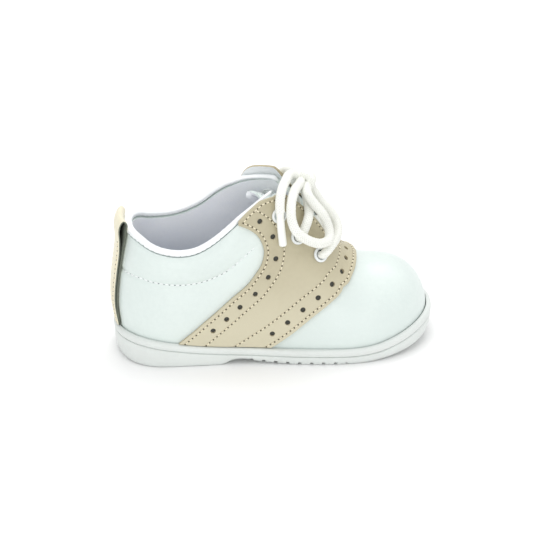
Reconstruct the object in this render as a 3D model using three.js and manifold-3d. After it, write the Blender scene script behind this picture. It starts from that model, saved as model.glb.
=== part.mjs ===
// A toddler's saddle shoe for the right foot: white leather vamp and quarters, a beige saddle across the
// instep, a padded collar with a bound edge, a folded pull tab up the heel, and a one-piece rubber cup sole.
// Millimetres. +X points to the toe, +Y to the inner (medial) side of the foot, +Z up.
import * as THREE from "three";
import { mergeVertices } from "three/addons/utils/BufferGeometryUtils.js";
import Module from "manifold-3d";

const wasm = await Module();
wasm.setup();

// Driving sizes
const soleLength = 132;
const soleWidth = 57.2; // across the ball
const soleSideHeight = 13.3; // top edge of the sole at the back of the heel
const toeSpring = 4.6;
const ribDepth = 0.9;
const ribPitch = 4.9;
const bandWidth = 3.0; // upper moulded band of the sole's side
const cupDepth = 3.3; // from the sole's top edge down to its floor
const coneHeight = 88; // top of the last that the upper is drawn over
const toeBoxHeight = 32.4;
const collarHeight = 50.7; // lowest point of the topline, under the ankle
const throatHeight = 74.5; // topline at the front corner of the lacing
const heelInset = 2.1; // upper's back behind the sole's edge
const toeInset = 2.3;
const sideInset = 2.7;
const wallThickness = 2.0;
const collarPadding = 1.2; // extra wall at the topline
const collarPuff = 1.5; // how far that padding swells outwards
const lipRise = 5.0;
const heelCounterBulge = 1.7;
const bindingHeight = 2.6;
const bindingWidth = 3.4;
const saddleThickness = 1.2;
const insoleThickness = 2.4;
const tongueThickness = 1.8;
const tongueWidth = 31;
const tongueCurl = 4; // how far its free corners turn back
const tongueDepth = wallThickness + 1.95; // below the flaps' outer face, clear of the eyelets
const tabWidth = 15;
const tabStrip = 0.9; // one layer of the folded strip
const tabLoopRise = 3.2; // loop above the topline at the heel
const tabLoopDepth = 4.9;
const eyeletOuter = 6.3;
const eyeletHole = 3.9;
const laceDiameter = 3.8;
const laceStep = 1.3; // length of a tube's step in diameters
const agletDiameter = 3.2;
const clearance = 0.3; // between pieces that touch
const cupGap = 0.4; // between the upper and the sole's wall

const halfLength = soleLength / 2;
const halfWidth = soleWidth / 2;

// Half-widths of the sole as shares of half the ball width
const SOLE_OUTLINE = [
  { at: 0.0, lateral: 0.75, medial: 0.75 },
  { at: 0.12, lateral: 0.765, medial: 0.76 },
  { at: 0.25, lateral: 0.79, medial: 0.765 },
  { at: 0.4, lateral: 0.815, medial: 0.745 },
  { at: 0.55, lateral: 0.92, medial: 0.83 },
  { at: 0.68, lateral: 0.99, medial: 0.935 },
  { at: 0.8, lateral: 1.0, medial: 0.985 },
  { at: 0.9, lateral: 0.98, medial: 0.985 },
  { at: 1.0, lateral: 0.95, medial: 0.95 },
];
// Height of the sole's top edge as a share of its side height, and of its underside as a share of the toe spring
const SOLE_SIDE = [
  { at: 0.0, top: 1.0, lift: 0.55 },
  { at: 0.03, top: 0.99, lift: 0.17 },
  { at: 0.07, top: 0.95, lift: 0.03 },
  { at: 0.1, top: 0.905, lift: 0 },
  { at: 0.175, top: 0.78, lift: 0 },
  { at: 0.25, top: 0.68, lift: 0 },
  { at: 0.3, top: 0.63, lift: 0 },
  { at: 0.32, top: 0.612, lift: 0.06 },
  { at: 0.35, top: 0.592, lift: 0.42 },
  { at: 0.375, top: 0.575, lift: 0.52 },
  { at: 0.43, top: 0.55, lift: 0.28 },
  { at: 0.5, top: 0.525, lift: 0.1 },
  { at: 0.56, top: 0.513, lift: 0 },
  { at: 0.65, top: 0.505, lift: 0 },
  { at: 0.74, top: 0.5, lift: 0 },
  { at: 0.8, top: 0.55, lift: 0.08 },
  { at: 0.87, top: 0.69, lift: 0.27 },
  { at: 0.94, top: 0.87, lift: 0.55 },
  { at: 1.0, top: 1.04, lift: 1.0 },
];
// The last: ridge between toe box (0) and cone (1), how round its cross-section is, and, as shares of half the
// ball width, how far its side swells low down and flares out at the height of the collar
const LAST = [
  { at: 0.0, ridge: 1.0, side: 2.1, crown: 2.2, swell: 0.028, flare: 0.077 },
  { at: 0.12, ridge: 1.0, side: 2.1, crown: 2.15, swell: 0.042, flare: 0.101 },
  { at: 0.3, ridge: 1.0, side: 2.1, crown: 2.05, swell: 0.035, flare: 0.105 },
  { at: 0.42, ridge: 0.945, side: 2.03, crown: 1.8, swell: 0.024, flare: 0.070 },
  { at: 0.48, ridge: 0.855, side: 2.0, crown: 1.7, swell: 0.021, flare: 0.042 },
  { at: 0.54, ridge: 0.7, side: 2.0, crown: 1.65, swell: 0.021, flare: 0.021 },
  { at: 0.6, ridge: 0.527, side: 2.0, crown: 1.65, swell: 0.024, flare: 0.007 },
  { at: 0.63, ridge: 0.437, side: 2.0, crown: 1.68, swell: 0.028, flare: 0.003 },
  { at: 0.66, ridge: 0.322, side: 2.0, crown: 1.74, swell: 0.031, flare: 0 },
  { at: 0.69, ridge: 0.208, side: 2.0, crown: 1.84, swell: 0.033, flare: 0 },
  { at: 0.72, ridge: 0.13, side: 2.05, crown: 1.95, swell: 0.035, flare: 0 },
  { at: 0.75, ridge: 0.09, side: 2.1, crown: 2.04, swell: 0.037, flare: 0 },
  { at: 0.78, ridge: 0.054, side: 2.15, crown: 2.12, swell: 0.038, flare: 0 },
  { at: 0.84, ridge: 0.024, side: 2.25, crown: 2.25, swell: 0.042, flare: 0 },
  { at: 0.9, ridge: 0.009, side: 2.35, crown: 2.3, swell: 0.042, flare: 0 },
  { at: 1.0, ridge: 0.0, side: 2.35, crown: 2.25, swell: 0.021, flare: 0 },
];
// Back of the heel: how far it stands forward (+) or back (-), against height as a share of the collar height
const HEEL_CURVE = [
  { up: 0.0, forward: 0.0 },
  { up: 0.2, forward: 0.0 },
  { up: 0.27, forward: -0.12 },
  { up: 0.45, forward: -0.55 },
  { up: 0.67, forward: -0.1 },
  { up: 0.9, forward: 1.05 },
  { up: 1.05, forward: 2.0 },
  { up: 1.25, forward: 2.8 },
  { up: 1.8, forward: 4.0 },
];
// Topline between the collar's low point (0) and the front corner of the lacing (1)
const TOPLINE = [
  { at: 0.0, lateral: 0.27, medial: 0.27 },
  { at: 0.04, lateral: 0.215, medial: 0.21 },
  { at: 0.083, lateral: 0.12, medial: 0.13 },
  { at: 0.135, lateral: 0.04, medial: 0.09 },
  { at: 0.18, lateral: 0.005, medial: 0.1 },
  { at: 0.234, lateral: 0.038, medial: 0.175 },
  { at: 0.29, lateral: 0.18, medial: 0.33 },
  { at: 0.332, lateral: 0.336, medial: 0.52 },
  { at: 0.376, lateral: 0.52, medial: 0.68 },
  { at: 0.41, lateral: 0.65, medial: 0.765 },
  { at: 0.44, lateral: 0.757, medial: 0.81 },
  { at: 0.5, lateral: 0.915, medial: 0.87 },
  { at: 0.55, lateral: 1.02, medial: 0.94 },
  { at: 0.64, lateral: 1.2, medial: 1.1 },
];
// Back and front edges of the saddle, as shares along the upper, against height between sole (0) and top (1)
const SADDLE_EDGE = [
  { up: 0.0, back: 0.171, front: 0.47 },
  { up: 0.1, back: 0.206, front: 0.538 },
  { up: 0.274, back: 0.2736, front: 0.635 },
  { up: 0.396, back: 0.3423, front: 0.677 },
  { up: 0.491, back: 0.4126, front: 0.709 },
  { up: 0.532, back: 0.4383, front: 0.721 },
  { up: 0.603, back: 0.4523, front: 0.733 },
  { up: 0.708, back: 0.4446, front: 0.747 },
  { up: 0.859, back: 0.4142, front: 0.758 },
  { up: 1.0, back: 0.3737, front: 0.764 },
];
// Half-width of the throat as a share of half the ball width, from its top corners forward
const THROAT = [
  { at: 0.45, half: 0.301 },
  { at: 0.51, half: 0.294 },
  { at: 0.56, half: 0.245 },
  { at: 0.6, half: 0.220 },
  { at: 0.64, half: 0.231 },
  { at: 0.7, half: 0.266 },
];
const throatFront = 0.7;
const throatRound = 0.045;
const throatBack = 0.4;
const heelCap = 0.155;
const toeCap = 0.27;
const ridgeCap = 0.155;
const toeShift = 3.0; // the toe's tip towards the inner side

// A smooth curve through a table's rows: cubic pieces whose slopes average their neighbours'
function curve(table, key, along = "at") {
  const x = table.map((row) => row[along]);
  const y = table.map((row) => row[key]);
  const last = x.length - 1;
  const rise = x.slice(1).map((v, i) => (y[i + 1] - y[i]) / (v - x[i]));
  const slope = x.map((v, i) => {
    if (i === 0) return rise[0];
    if (i === last) return rise[last - 1];
    return (rise[i - 1] * (x[i + 1] - v) + rise[i] * (v - x[i - 1])) / (x[i + 1] - x[i - 1]);
  });
  return (value) => {
    const v = Math.min(Math.max(value, x[0]), x[last]);
    let i = 0;
    while (i < last - 1 && v > x[i + 1]) i += 1;
    const h = x[i + 1] - x[i];
    const t = (v - x[i]) / h;
    const a = (1 + 2 * t) * (1 - t) * (1 - t);
    const b = t * (1 - t) * (1 - t);
    const c = t * t * (3 - 2 * t);
    const d = t * t * (t - 1);
    return a * y[i] + b * h * slope[i] + c * y[i + 1] + d * h * slope[i + 1];
  };
}

const clamp = (v, low, high) => Math.min(Math.max(v, low), high);
const mix = (a, b, f) => a + (b - a) * f;
// Rounds an end of an outline: 0 at the tip, 1 from `reach` inwards
const endCap = (share, reach, power) => {
  const rest = clamp(1 - share / reach, 0, 1);
  return (1 - rest ** power) ** (1 / power);
};
// Stations crowd towards both ends of the shoe
const shareOf = (t) => (1 - Math.cos(Math.PI * t)) / 2;
const stationOf = (share) => Math.acos(1 - 2 * clamp(share, 0, 1)) / Math.PI;

const outlineCurve = { "-1": curve(SOLE_OUTLINE, "lateral"), 1: curve(SOLE_OUTLINE, "medial") };
const topCurve = curve(SOLE_SIDE, "top");
const liftCurve = curve(SOLE_SIDE, "lift");
const ridgeCurve = curve(LAST, "ridge");
const sideCurve = curve(LAST, "side");
const crownCurve = curve(LAST, "crown");
const swellCurve = curve(LAST, "swell");
const flareCurve = curve(LAST, "flare");
const throatCurve = curve(THROAT, "half");
const heelCurve = curve(HEEL_CURVE, "forward", "up");
const toplineCurve = { "-1": curve(TOPLINE, "lateral"), 1: curve(TOPLINE, "medial") };
const saddleBack = curve(SADDLE_EDGE, "back", "up");
const saddleFront = curve(SADDLE_EDGE, "front", "up");

const lean = (share) => toeShift * clamp((share - 0.6) / 0.4, 0, 1) ** 2;
const soleTop = (share) => soleSideHeight * topCurve(share);
const soleBottom = (share) => toeSpring * Math.max(liftCurve(share), 0);
const soleFloor = (share) => soleTop(share) - cupDepth;

// Half-width on one side, inset from the sole's edge
function halfWidthAt(share, side, inset) {
  const full = halfWidth * outlineCurve[side](share) - inset;
  return full * endCap(share, heelCap, 2.25) * endCap(1 - share, toeCap, 2.3);
}

function outlinePoint(share, side, inset) {
  const x = -halfLength + inset + (soleLength - 2 * inset) * share;
  return [x, side * halfWidthAt(share, side, inset) + lean(share)];
}

// The last's surface above the feather edge: angle 0 at the sole, a quarter turn at the ridge
const featherHeight = (share) => soleFloor(share) + clearance;
function ridgeHeight(share) {
  const base = featherHeight(share);
  const top = toeBoxHeight + (coneHeight - toeBoxHeight) * ridgeCurve(share);
  return base + (top - base) * endCap(1 - share, ridgeCap, 2.3);
}

// The toe's lean fades towards the ridge
const driftAt = (share, height) => lean(share) * (1 - 0.6 * clamp((height - featherHeight(share)) / toeBoxHeight, 0, 1));

function lastPoint(share, angle, side) {
  const own = halfWidthAt(share, side, sideInset);
  const other = halfWidthAt(share, -side, sideInset);
  const width = mix(own, (own + other) / 2, Math.sin(angle));
  const base = featherHeight(share);
  const rise = ridgeHeight(share) - base;
  const up = rise * Math.sin(angle) ** (2 / crownCurve(share));
  const across = Math.max(Math.cos(angle), 0) ** (2 / sideCurve(share));
  const swellReach = toeBoxHeight * 0.78;
  const low = halfWidth * swellCurve(share) * Math.sin(Math.PI * clamp(up / swellReach, 0, 1));
  const high = halfWidth * flareCurve(share) * (up / collarHeight) ** 2;
  const swell = (low + high) * clamp((3 * width) / soleWidth, 0, 1);
  const fade = clamp(1 - share / 0.35, 0, 1) ** 2;
  const back = heelCounterBulge * heelCurve((base + up) / collarHeight) * fade;
  const x = -halfLength + heelInset + (soleLength - heelInset - toeInset) * share + back;
  return [x, side * (width + swell) * across + driftAt(share, base + up), base + up];
}

function angleAtHeight(share, height) {
  const base = featherHeight(share);
  const part = clamp((height - base) / Math.max(ridgeHeight(share) - base, 1e-6), 0, 1);
  return Math.asin(part ** (crownCurve(share) / 2));
}

function angleAtWidth(share, side, half) {
  let low = 0;
  let high = Math.PI / 2;
  for (let i = 0; i < 40; i += 1) {
    const angle = (low + high) / 2;
    const p = lastPoint(share, angle, side);
    const across = Math.abs(p[1] - driftAt(share, p[2]));
    if (across > half) low = angle;
    else high = angle;
  }
  return (low + high) / 2;
}

const toplineHeight = (share, side) => collarHeight + (throatHeight - collarHeight) * toplineCurve[side](share);

function throatHalf(share) {
  const q = clamp((share - (throatFront - throatRound)) / throatRound, 0, 1);
  return halfWidth * throatCurve(share) * Math.sqrt(1 - q * q);
}

// Where the upper stops: the collar, then the throat's edge, then the ridge
function topAngle(share, side, drop = 0) {
  const collar = angleAtHeight(share, toplineHeight(share, side) - drop);
  if (share <= throatBack) return collar;
  if (share >= throatFront) return Math.PI / 2;
  const throat = angleAtWidth(share, side, throatHalf(share));
  const blend = 0.05;
  const f = clamp(0.5 + (0.5 * (throat - collar)) / blend, 0, 1);
  return mix(throat, collar, f) - blend * f * (1 - f);
}

const soleAngle = (share) => angleAtHeight(share, soleTop(share) + cupGap);

// A row at height share `up` between the sole's top edge and the top of the upper
function rowAngle(share, side, up) {
  const low = soleAngle(share);
  const full = share > throatBack ? Math.PI / 2 : 0;
  const top = topAngle(share, side, bindingHeight);
  const smooth = Math.max(mix(top, full, 0.5 * clamp((share - throatBack) / 0.2, 0, 1)), top);
  return low + (smooth - low) * up - up ** 2.5 * (smooth - top);
}

// The grid that upper and saddle share, so that their walls run parallel
const BACK_STEPS = 10;
const SADDLE_STEPS = 11;
const FRONT_STEPS = 11;
const ROW_SHARES = [0, 0.09, 0.2, 0.32, 0.42, 0.5, 0.57, 0.65, 0.74, 0.83, 0.92, 1];
const STATIONS = BACK_STEPS + SADDLE_STEPS + FRONT_STEPS;
const LIP_ROW = ROW_SHARES.length + 1;

function stationAt(step, up) {
  const back = stationOf(saddleBack(up));
  const front = stationOf(saddleFront(up));
  if (step <= BACK_STEPS) return (back * step) / BACK_STEPS;
  if (step <= BACK_STEPS + SADDLE_STEPS) return mix(back, front, (step - BACK_STEPS) / SADDLE_STEPS);
  return mix(front, 1, (step - BACK_STEPS - SADDLE_STEPS) / FRONT_STEPS);
}

// Padding under the topline of the quarters: it swells from the stitched line up to the binding
function puffAt(share, side, up) {
  const t = clamp((up - 0.62) / 0.38, 0, 1);
  const end = side < 0 ? 0.41 : 0.47;
  return collarPuff * Math.sin(Math.PI * t ** 1.3) * clamp((end - share) / 0.08, 0, 1);
}

// The inner side's saddle stands proud of the binding along its top edge
function lipAt(share) {
  return lipRise * clamp((share - 0.385) / 0.03, 0, 1) * clamp((0.53 - share) / 0.04, 0, 1);
}

function outwardAt(share, angle, side) {
  return share === 0 ? new THREE.Vector3(-1, 0, 0) : surfaceFrame(share, angle, side).normal;
}

function upperGrid() {
  const points = [];
  const puffs = [];
  const quads = [];
  const weld = new Map();
  const indexOf = (p, puff) => {
    const key = p.map((v) => Math.round(v * 2000)).join(",");
    if (!weld.has(key)) {
      weld.set(key, points.length);
      points.push(p);
      puffs.push(puff);
    }
    return weld.get(key);
  };
  const pointAt = (share, angle, side, puff) => {
    const p = lastPoint(share, angle, side);
    if (puff < 1e-6) return p;
    const n = outwardAt(share, angle, side);
    return [p[0] + n.x * puff, p[1] + n.y * puff, p[2] + n.z * puff];
  };
  for (const side of [-1, 1]) {
    const rows = [];
    for (let row = 0; row <= LIP_ROW; row += 1) {
      const up = ROW_SHARES[clamp(row - 1, 0, ROW_SHARES.length - 1)];
      const line = [];
      for (let step = 0; step <= STATIONS; step += 1) {
        const share = shareOf(stationAt(step, up));
        let angle = row === 0 ? 0 : rowAngle(share, side, up);
        const rise = row === LIP_ROW && side > 0 ? lipAt(share) : 0;
        if (rise > 0) angle = angleAtHeight(share, lastPoint(share, angle, side)[2] + rise);
        const puff = row > 0 && rise === 0 ? puffAt(share, side, up) : 0;
        line.push(indexOf(pointAt(share, angle, side, puff), puff));
      }
      rows.push(line);
    }
    for (let row = 0; row < LIP_ROW; row += 1) {
      for (let step = 0; step < STATIONS; step += 1) {
        const quad = [rows[row][step], rows[row][step + 1], rows[row + 1][step + 1], rows[row + 1][step]];
        if (side === 1) quad.reverse();
        quads.push({ corners: quad, row, step });
      }
    }
  }
  return { points, puffs, quads };
}

function trianglesOf(quads) {
  const out = [];
  for (const { corners } of quads) {
    const [a, b, c, d] = corners;
    for (const tri of [[a, b, c], [a, c, d]]) {
      if (tri[0] !== tri[1] && tri[1] !== tri[2] && tri[0] !== tri[2]) out.push(tri);
    }
  }
  return out;
}

// Outward normals at the grid's points, weighted by area
function normalsOf(points, triangles) {
  const normals = points.map(() => new THREE.Vector3());
  const v = points.map((p) => new THREE.Vector3(...p));
  for (const [a, b, c] of triangles) {
    const n = v[b].clone().sub(v[a]).cross(v[c].clone().sub(v[a]));
    for (const i of [a, b, c]) normals[i].add(n);
  }
  return normals.map((n) => n.normalize());
}

function geometryOf(positions, triangles) {
  const geometry = new THREE.BufferGeometry();
  geometry.setAttribute("position", new THREE.Float32BufferAttribute(positions.flat(), 3));
  geometry.setIndex(triangles.flat());
  return geometry;
}

// A closed wall between two copies of a sheet, with its rims filled in
function shell(outer, inner, triangles) {
  const used = [...new Set(triangles.flat())];
  const slot = new Map(used.map((v, i) => [v, i]));
  const count = used.length;
  const faces = [];
  const edges = new Set(triangles.flatMap(([a, b, c]) => [`${a},${b}`, `${b},${c}`, `${c},${a}`]));
  for (const tri of triangles) {
    const [a, b, c] = tri.map((v) => slot.get(v));
    faces.push([a, b, c], [count + a, count + c, count + b]);
  }
  for (const edge of edges) {
    const [a, b] = edge.split(",").map(Number);
    if (edges.has(`${b},${a}`)) continue;
    const [p, q] = [slot.get(a), slot.get(b)];
    faces.push([p, count + p, q], [q, count + p, count + q]);
  }
  const positions = [...used.map((v) => outer[v]), ...used.map((v) => inner[v])];
  return geometryOf(positions, faces);
}

const pushed = (points, normals, amount) =>
  points.map((p, i) => {
    const far = typeof amount === "function" ? amount(p, i) : amount;
    return [p[0] + normals[i].x * far, p[1] + normals[i].y * far, p[2] + normals[i].z * far];
  });

function toSolid(geometry) {
  const clean = geometry.clone();
  for (const name of Object.keys(clean.attributes)) {
    if (name !== "position") clean.deleteAttribute(name);
  }
  const merged = mergeVertices(clean, 1e-5);
  const mesh = new wasm.Mesh({
    numProp: 3,
    vertProperties: new Float32Array(merged.attributes.position.array),
    triVerts: new Uint32Array(merged.index.array),
  });
  return new wasm.Manifold(mesh);
}

function fromSolid(solid) {
  const mesh = solid.getMesh();
  const geometry = new THREE.BufferGeometry();
  geometry.setAttribute("position", new THREE.Float32BufferAttribute(Array.from(mesh.vertProperties), 3));
  geometry.setIndex(Array.from(mesh.triVerts));
  return geometry;
}

const cutAll = (geometry, tools) => {
  let solid = toSolid(geometry);
  for (const tool of tools) solid = solid.subtract(toSolid(tool));
  return fromSolid(solid);
};

// A convex section carried along frames {origin, across, up}, with flat ends
function sweep(frames, section) {
  const n = section.length;
  const positions = frames.flatMap(({ origin, across, up, scale = 1 }) =>
    section.map(([a, b]) => [0, 1, 2].map((k) => origin[k] + (across[k] * a + up[k] * b) * scale)),
  );
  const faces = [];
  for (let i = 0; i < frames.length - 1; i += 1) {
    for (let j = 0; j < n; j += 1) {
      const [a, b] = [i * n + j, i * n + ((j + 1) % n)];
      faces.push([a, b, b + n], [a, b + n, a + n]);
    }
  }
  const end = (frames.length - 1) * n;
  for (let j = 1; j < n - 1; j += 1) {
    faces.push([0, j + 1, j], [end, end + j, end + j + 1]);
  }
  return outward(geometryOf(positions, faces));
}

// Turns a closed mesh right side out
function outward(geometry) {
  const p = geometry.attributes.position;
  const index = Array.from(geometry.index.array);
  let volume = 0;
  const v = [0, 1, 2].map(() => new THREE.Vector3());
  for (let i = 0; i < index.length; i += 3) {
    for (let k = 0; k < 3; k += 1) v[k].fromBufferAttribute(p, index[i + k]);
    volume += v[0].dot(v[1].clone().cross(v[2]));
  }
  if (volume < 0) {
    for (let i = 0; i < index.length; i += 3) [index[i + 1], index[i + 2]] = [index[i + 2], index[i + 1]];
    geometry.setIndex(index);
  }
  return geometry;
}

// Sole: rings round the outline from the tread's edge over the band and down into the cup
function ribAt(share) {
  const x = soleLength * share;
  const first = soleLength * 0.405;
  const last = soleLength * 0.71;
  if (x < first || x > last) return 0;
  const phase = ((x - first) / ribPitch) % 1;
  return phase < 0.28 ? ribDepth : 0;
}

function soleStations() {
  const shares = new Set();
  for (let i = 0; i <= 26; i += 1) shares.add(shareOf(i / 26));
  const first = 0.405;
  const step = ribPitch / soleLength;
  for (let x = first; x < 0.71; x += step) {
    for (const phase of [-0.02, 0.02, 0.26, 0.3]) shares.add(x + phase * step);
  }
  const sorted = [...shares].sort((a, b) => a - b);
  return sorted.filter((s, i) => {
    const inRibs = s > 0.4 && s < 0.715;
    const fromGrid = Math.abs(stationOf(s) * 26 - Math.round(stationOf(s) * 26)) < 1e-9;
    return !(inRibs && fromGrid) || i === 0;
  });
}

// The upper's outer surface at a height, in plan
function footprint(share, side, height) {
  const s = clamp(share, 0, 1);
  return lastPoint(s, angleAtHeight(s, height), side);
}

function outsole() {
  const shares = soleStations();
  const count = shares.length;
  const levels = [
    { inset: 2.0, z: (s) => soleBottom(s) + ribAt(s) },
    { inset: 0.75, z: (s) => soleBottom(s) + 0.9 + 0.5 * ribAt(s) },
    { inset: 0.3, z: (s) => mix(soleBottom(s) + 0.9, soleTop(s) - bandWidth, 0.6) },
    { inset: 0.9, z: (s) => soleTop(s) - bandWidth },
    { inset: 0.15, z: (s) => soleTop(s) - bandWidth + 0.35 },
    { inset: 0.0, z: (s) => soleTop(s) - 0.55 * bandWidth },
    { inset: 0.35, z: (s) => soleTop(s) - 0.5 },
    { inset: 1.1, z: (s) => soleTop(s) },
  ];
  const rings = levels.map(({ inset, z }) => ringOf(shares, (s, side) => [...outlinePoint(s, side, inset), z(s)]));
  // The cup's lip and wall follow the upper with a clearance
  const lip = (s, side, z) => {
    const here = footprint(s, side, z);
    const [ahead, behind] = [footprint(s + 0.002, side, z), footprint(s - 0.002, side, z)];
    const run = [ahead[0] - behind[0], ahead[1] - behind[1]];
    const tip = s <= 0 || s >= 1;
    const far = Math.hypot(...run) || 1;
    const out = tip ? [s < 0.5 ? -1 : 1, 0] : [(-side * run[1]) / far, (side * run[0]) / far];
    return [here[0] + out[0] * cupGap, here[1] + out[1] * cupGap, z];
  };
  rings.push(ringOf(shares, (s, side) => lip(s, side, soleTop(s) - 0.1)));
  rings.push(ringOf(shares, (s, side) => lip(s, side, soleTop(s) - 1.6)));
  rings.push(ringOf(shares, (s, side) => [...lip(s, side, soleFloor(s)).slice(0, 2), soleFloor(s)]));
  const positions = rings.flat();
  const around = rings[0].length;
  const faces = [];
  for (let level = 0; level < rings.length - 1; level += 1) {
    for (let i = 0; i < around; i += 1) {
      const [a, b] = [level * around + i, level * around + ((i + 1) % around)];
      faces.push([a, b, b + around], [a, b + around, a + around]);
    }
  }
  fillAcross(positions, faces, 0, count, (s) => soleBottom(s) + ribAt(s), shares, true);
  fillAcross(positions, faces, (rings.length - 1) * around, count, soleFloor, shares, false);
  return outward(geometryOf(positions, faces));
}

// A closed ring: out along the lateral side from heel to toe, and back along the medial side
function ringOf(shares, point) {
  const lateral = shares.map((s) => point(s, -1));
  const medial = shares.slice(1, -1).reverse().map((s) => point(s, 1));
  return [...lateral, ...medial];
}

// Closes a ring with strips from side to side, so that a face can carry ribs across it
function fillAcross(positions, faces, start, count, height, shares, down) {
  const COLUMNS = down ? 3 : 2;
  const around = 2 * count - 2;
  const lines = shares.map((s, i) => {
    const a = start + i;
    const b = i === 0 || i === count - 1 ? a : start + around - i;
    if (a === b) return new Array(COLUMNS + 1).fill(a);
    const line = [a];
    for (let c = 1; c < COLUMNS; c += 1) {
      const p = [0, 1, 2].map((k) => mix(positions[a][k], positions[b][k], c / COLUMNS));
      p[2] = height(s);
      line.push(positions.length);
      positions.push(p);
    }
    line.push(b);
    return line;
  });
  for (let i = 0; i < count - 1; i += 1) {
    for (let c = 0; c < COLUMNS; c += 1) {
      const corners = [lines[i][c], lines[i][c + 1], lines[i + 1][c + 1], lines[i + 1][c]];
      if (!down) corners.reverse();
      for (const tri of trianglesOf([{ corners }])) faces.push(tri);
    }
  }
}

function insole() {
  const shares = Array.from({ length: 25 }, (_, i) => shareOf(0.02 + (0.96 * i) / 24));
  const inset = wallThickness + 0.8;
  const place = (s, side, extra) => {
    const p = lastPoint(s, 0, side);
    const width = Math.max(Math.abs(p[1] - lean(s)) - inset - extra, 0.4);
    const squeeze = 1 - (2 * (inset + extra + 0.4)) / soleLength;
    return [p[0] * squeeze, side * width + lean(s)];
  };
  const low = (s) => soleFloor(s) + clearance;
  const high = (s) => soleFloor(s) + clearance + insoleThickness;
  const rings = [
    ringOf(shares, (s, side) => [...place(s, side, 0), low(s)]),
    ringOf(shares, (s, side) => [...place(s, side, 0), high(s) - 0.5]),
    ringOf(shares, (s, side) => [...place(s, side, 0.5), high(s)]),
  ];
  for (const ring of rings) {
    ring[0][1] = 0;
    ring[shares.length - 1][1] = lean(1);
  }
  const positions = rings.flat();
  const around = rings[0].length;
  const faces = [];
  for (let level = 0; level < 2; level += 1) {
    for (let i = 0; i < around; i += 1) {
      const [a, b] = [level * around + i, level * around + ((i + 1) % around)];
      faces.push([a, b, b + around], [a, b + around, a + around]);
    }
  }
  fillAcross(positions, faces, 0, shares.length, low, shares, true);
  fillAcross(positions, faces, 2 * around, shares.length, high, shares, false);
  return outward(geometryOf(positions, faces));
}

const grid = upperGrid();
const gridTriangles = trianglesOf(grid.quads);
const gridNormals = normalsOf(grid.points, gridTriangles);

// Wall: thicker towards the padded topline
function wallAt(p, i) {
  const high = clamp((p[2] / collarHeight - 0.55) / 0.45, 0, 1);
  const rear = clamp((-4 - p[0]) / 16, 0, 1);
  return -(wallThickness + collarPadding * high * rear + grid.puffs[i]);
}

function surfaceFrame(share, angle, side) {
  const step = 0.004;
  const at = (s, a) => new THREE.Vector3(...lastPoint(shareOf(clamp(stationOf(s), 0, 1)), a, side));
  const t = stationOf(share);
  const origin = at(share, angle);
  const along = new THREE.Vector3(...lastPoint(shareOf(Math.min(t + step, 1)), angle, side)).sub(
    new THREE.Vector3(...lastPoint(shareOf(Math.max(t - step, 0)), angle, side)),
  );
  const up = at(share, Math.min(angle + step, Math.PI / 2)).sub(at(share, Math.max(angle - step, 0)));
  const normal = along.clone().cross(up).multiplyScalar(-side).normalize();
  return { origin, along: along.normalize(), up: up.normalize(), normal };
}

// Eyelets, in pairs along the throat: share along the shoe, and distance below the flap's edge in eyelet widths
const EYELETS = [
  { name: "top", at: 0.5001, below: 1.663 },
  { name: "middle", at: 0.5591, below: 2.231 },
  { name: "bottom", at: 0.629, below: 2.105 },
];
function angleBelowEdge(share, side, distance) {
  const edge = new THREE.Vector3(...lastPoint(share, topAngle(share, side), side));
  let low = 0;
  let high = topAngle(share, side);
  for (let i = 0; i < 40; i += 1) {
    const angle = (low + high) / 2;
    if (edge.distanceTo(new THREE.Vector3(...lastPoint(share, angle, side))) > distance) low = angle;
    else high = angle;
  }
  return (low + high) / 2;
}
const eyeletPlaces = EYELETS.flatMap(({ name, at, below }) =>
  [-1, 1].map((side) => {
    const place = surfaceFrame(at, angleBelowEdge(at, side, below * eyeletOuter), side);
    return { name: `eyelet_${side < 0 ? "lateral" : "medial"}_${name}`, ...place };
  }),
);

// A turned form whose axis stands on the surface
function stand(geometry, { origin, normal }) {
  const turn = new THREE.Quaternion().setFromUnitVectors(new THREE.Vector3(0, 1, 0), normal);
  return geometry.applyQuaternion(turn).translate(origin.x, origin.y, origin.z);
}

const barrel = eyeletHole / 2 + 0.35;
const holeTool = (place) => stand(new THREE.CylinderGeometry(barrel + clearance, barrel + clearance, 14, 10), place);

function eyelet(place) {
  const hole = eyeletHole / 2;
  const rim = eyeletOuter / 2;
  const seat = clearance + saddleThickness + clearance;
  const back = -(wallThickness + clearance + 0.5);
  const profile = [
    [hole, back - 0.5],
    [barrel + clearance + 0.4, back - 0.5],
    [barrel + clearance + 0.4, back],
    [barrel, back],
    [barrel, seat],
    [rim, seat],
    [rim - 0.15, seat + 0.55],
    [(rim + hole) / 2, seat + 0.95],
    [hole + 0.1, seat + 0.6],
    [hole, seat],
    [hole, back - 0.5],
  ].map(([r, h]) => new THREE.Vector2(r, h));
  const geometry = new THREE.LatheGeometry(profile, 10);
  geometry.deleteAttribute("uv");
  geometry.deleteAttribute("normal");
  return stand(outward(mergeVertices(geometry, 1e-4)), place);
}

const holes = eyeletPlaces.map(holeTool);
const upperTriangles = trianglesOf(grid.quads.filter(({ row }) => row < LIP_ROW - 1));
const upperShell = shell(grid.points, pushed(grid.points, gridNormals, wallAt), upperTriangles);
const upperGeometry = cutAll(upperShell, holes);

const saddleQuads = grid.quads.filter(
  ({ row, step }) => row >= 1 && step >= BACK_STEPS && step < BACK_STEPS + SADDLE_STEPS,
);
const saddleGeometry = cutAll(
  shell(
    pushed(grid.points, gridNormals, clearance + saddleThickness),
    pushed(grid.points, gridNormals, clearance),
    trianglesOf(saddleQuads),
  ),
  holes,
);

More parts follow.
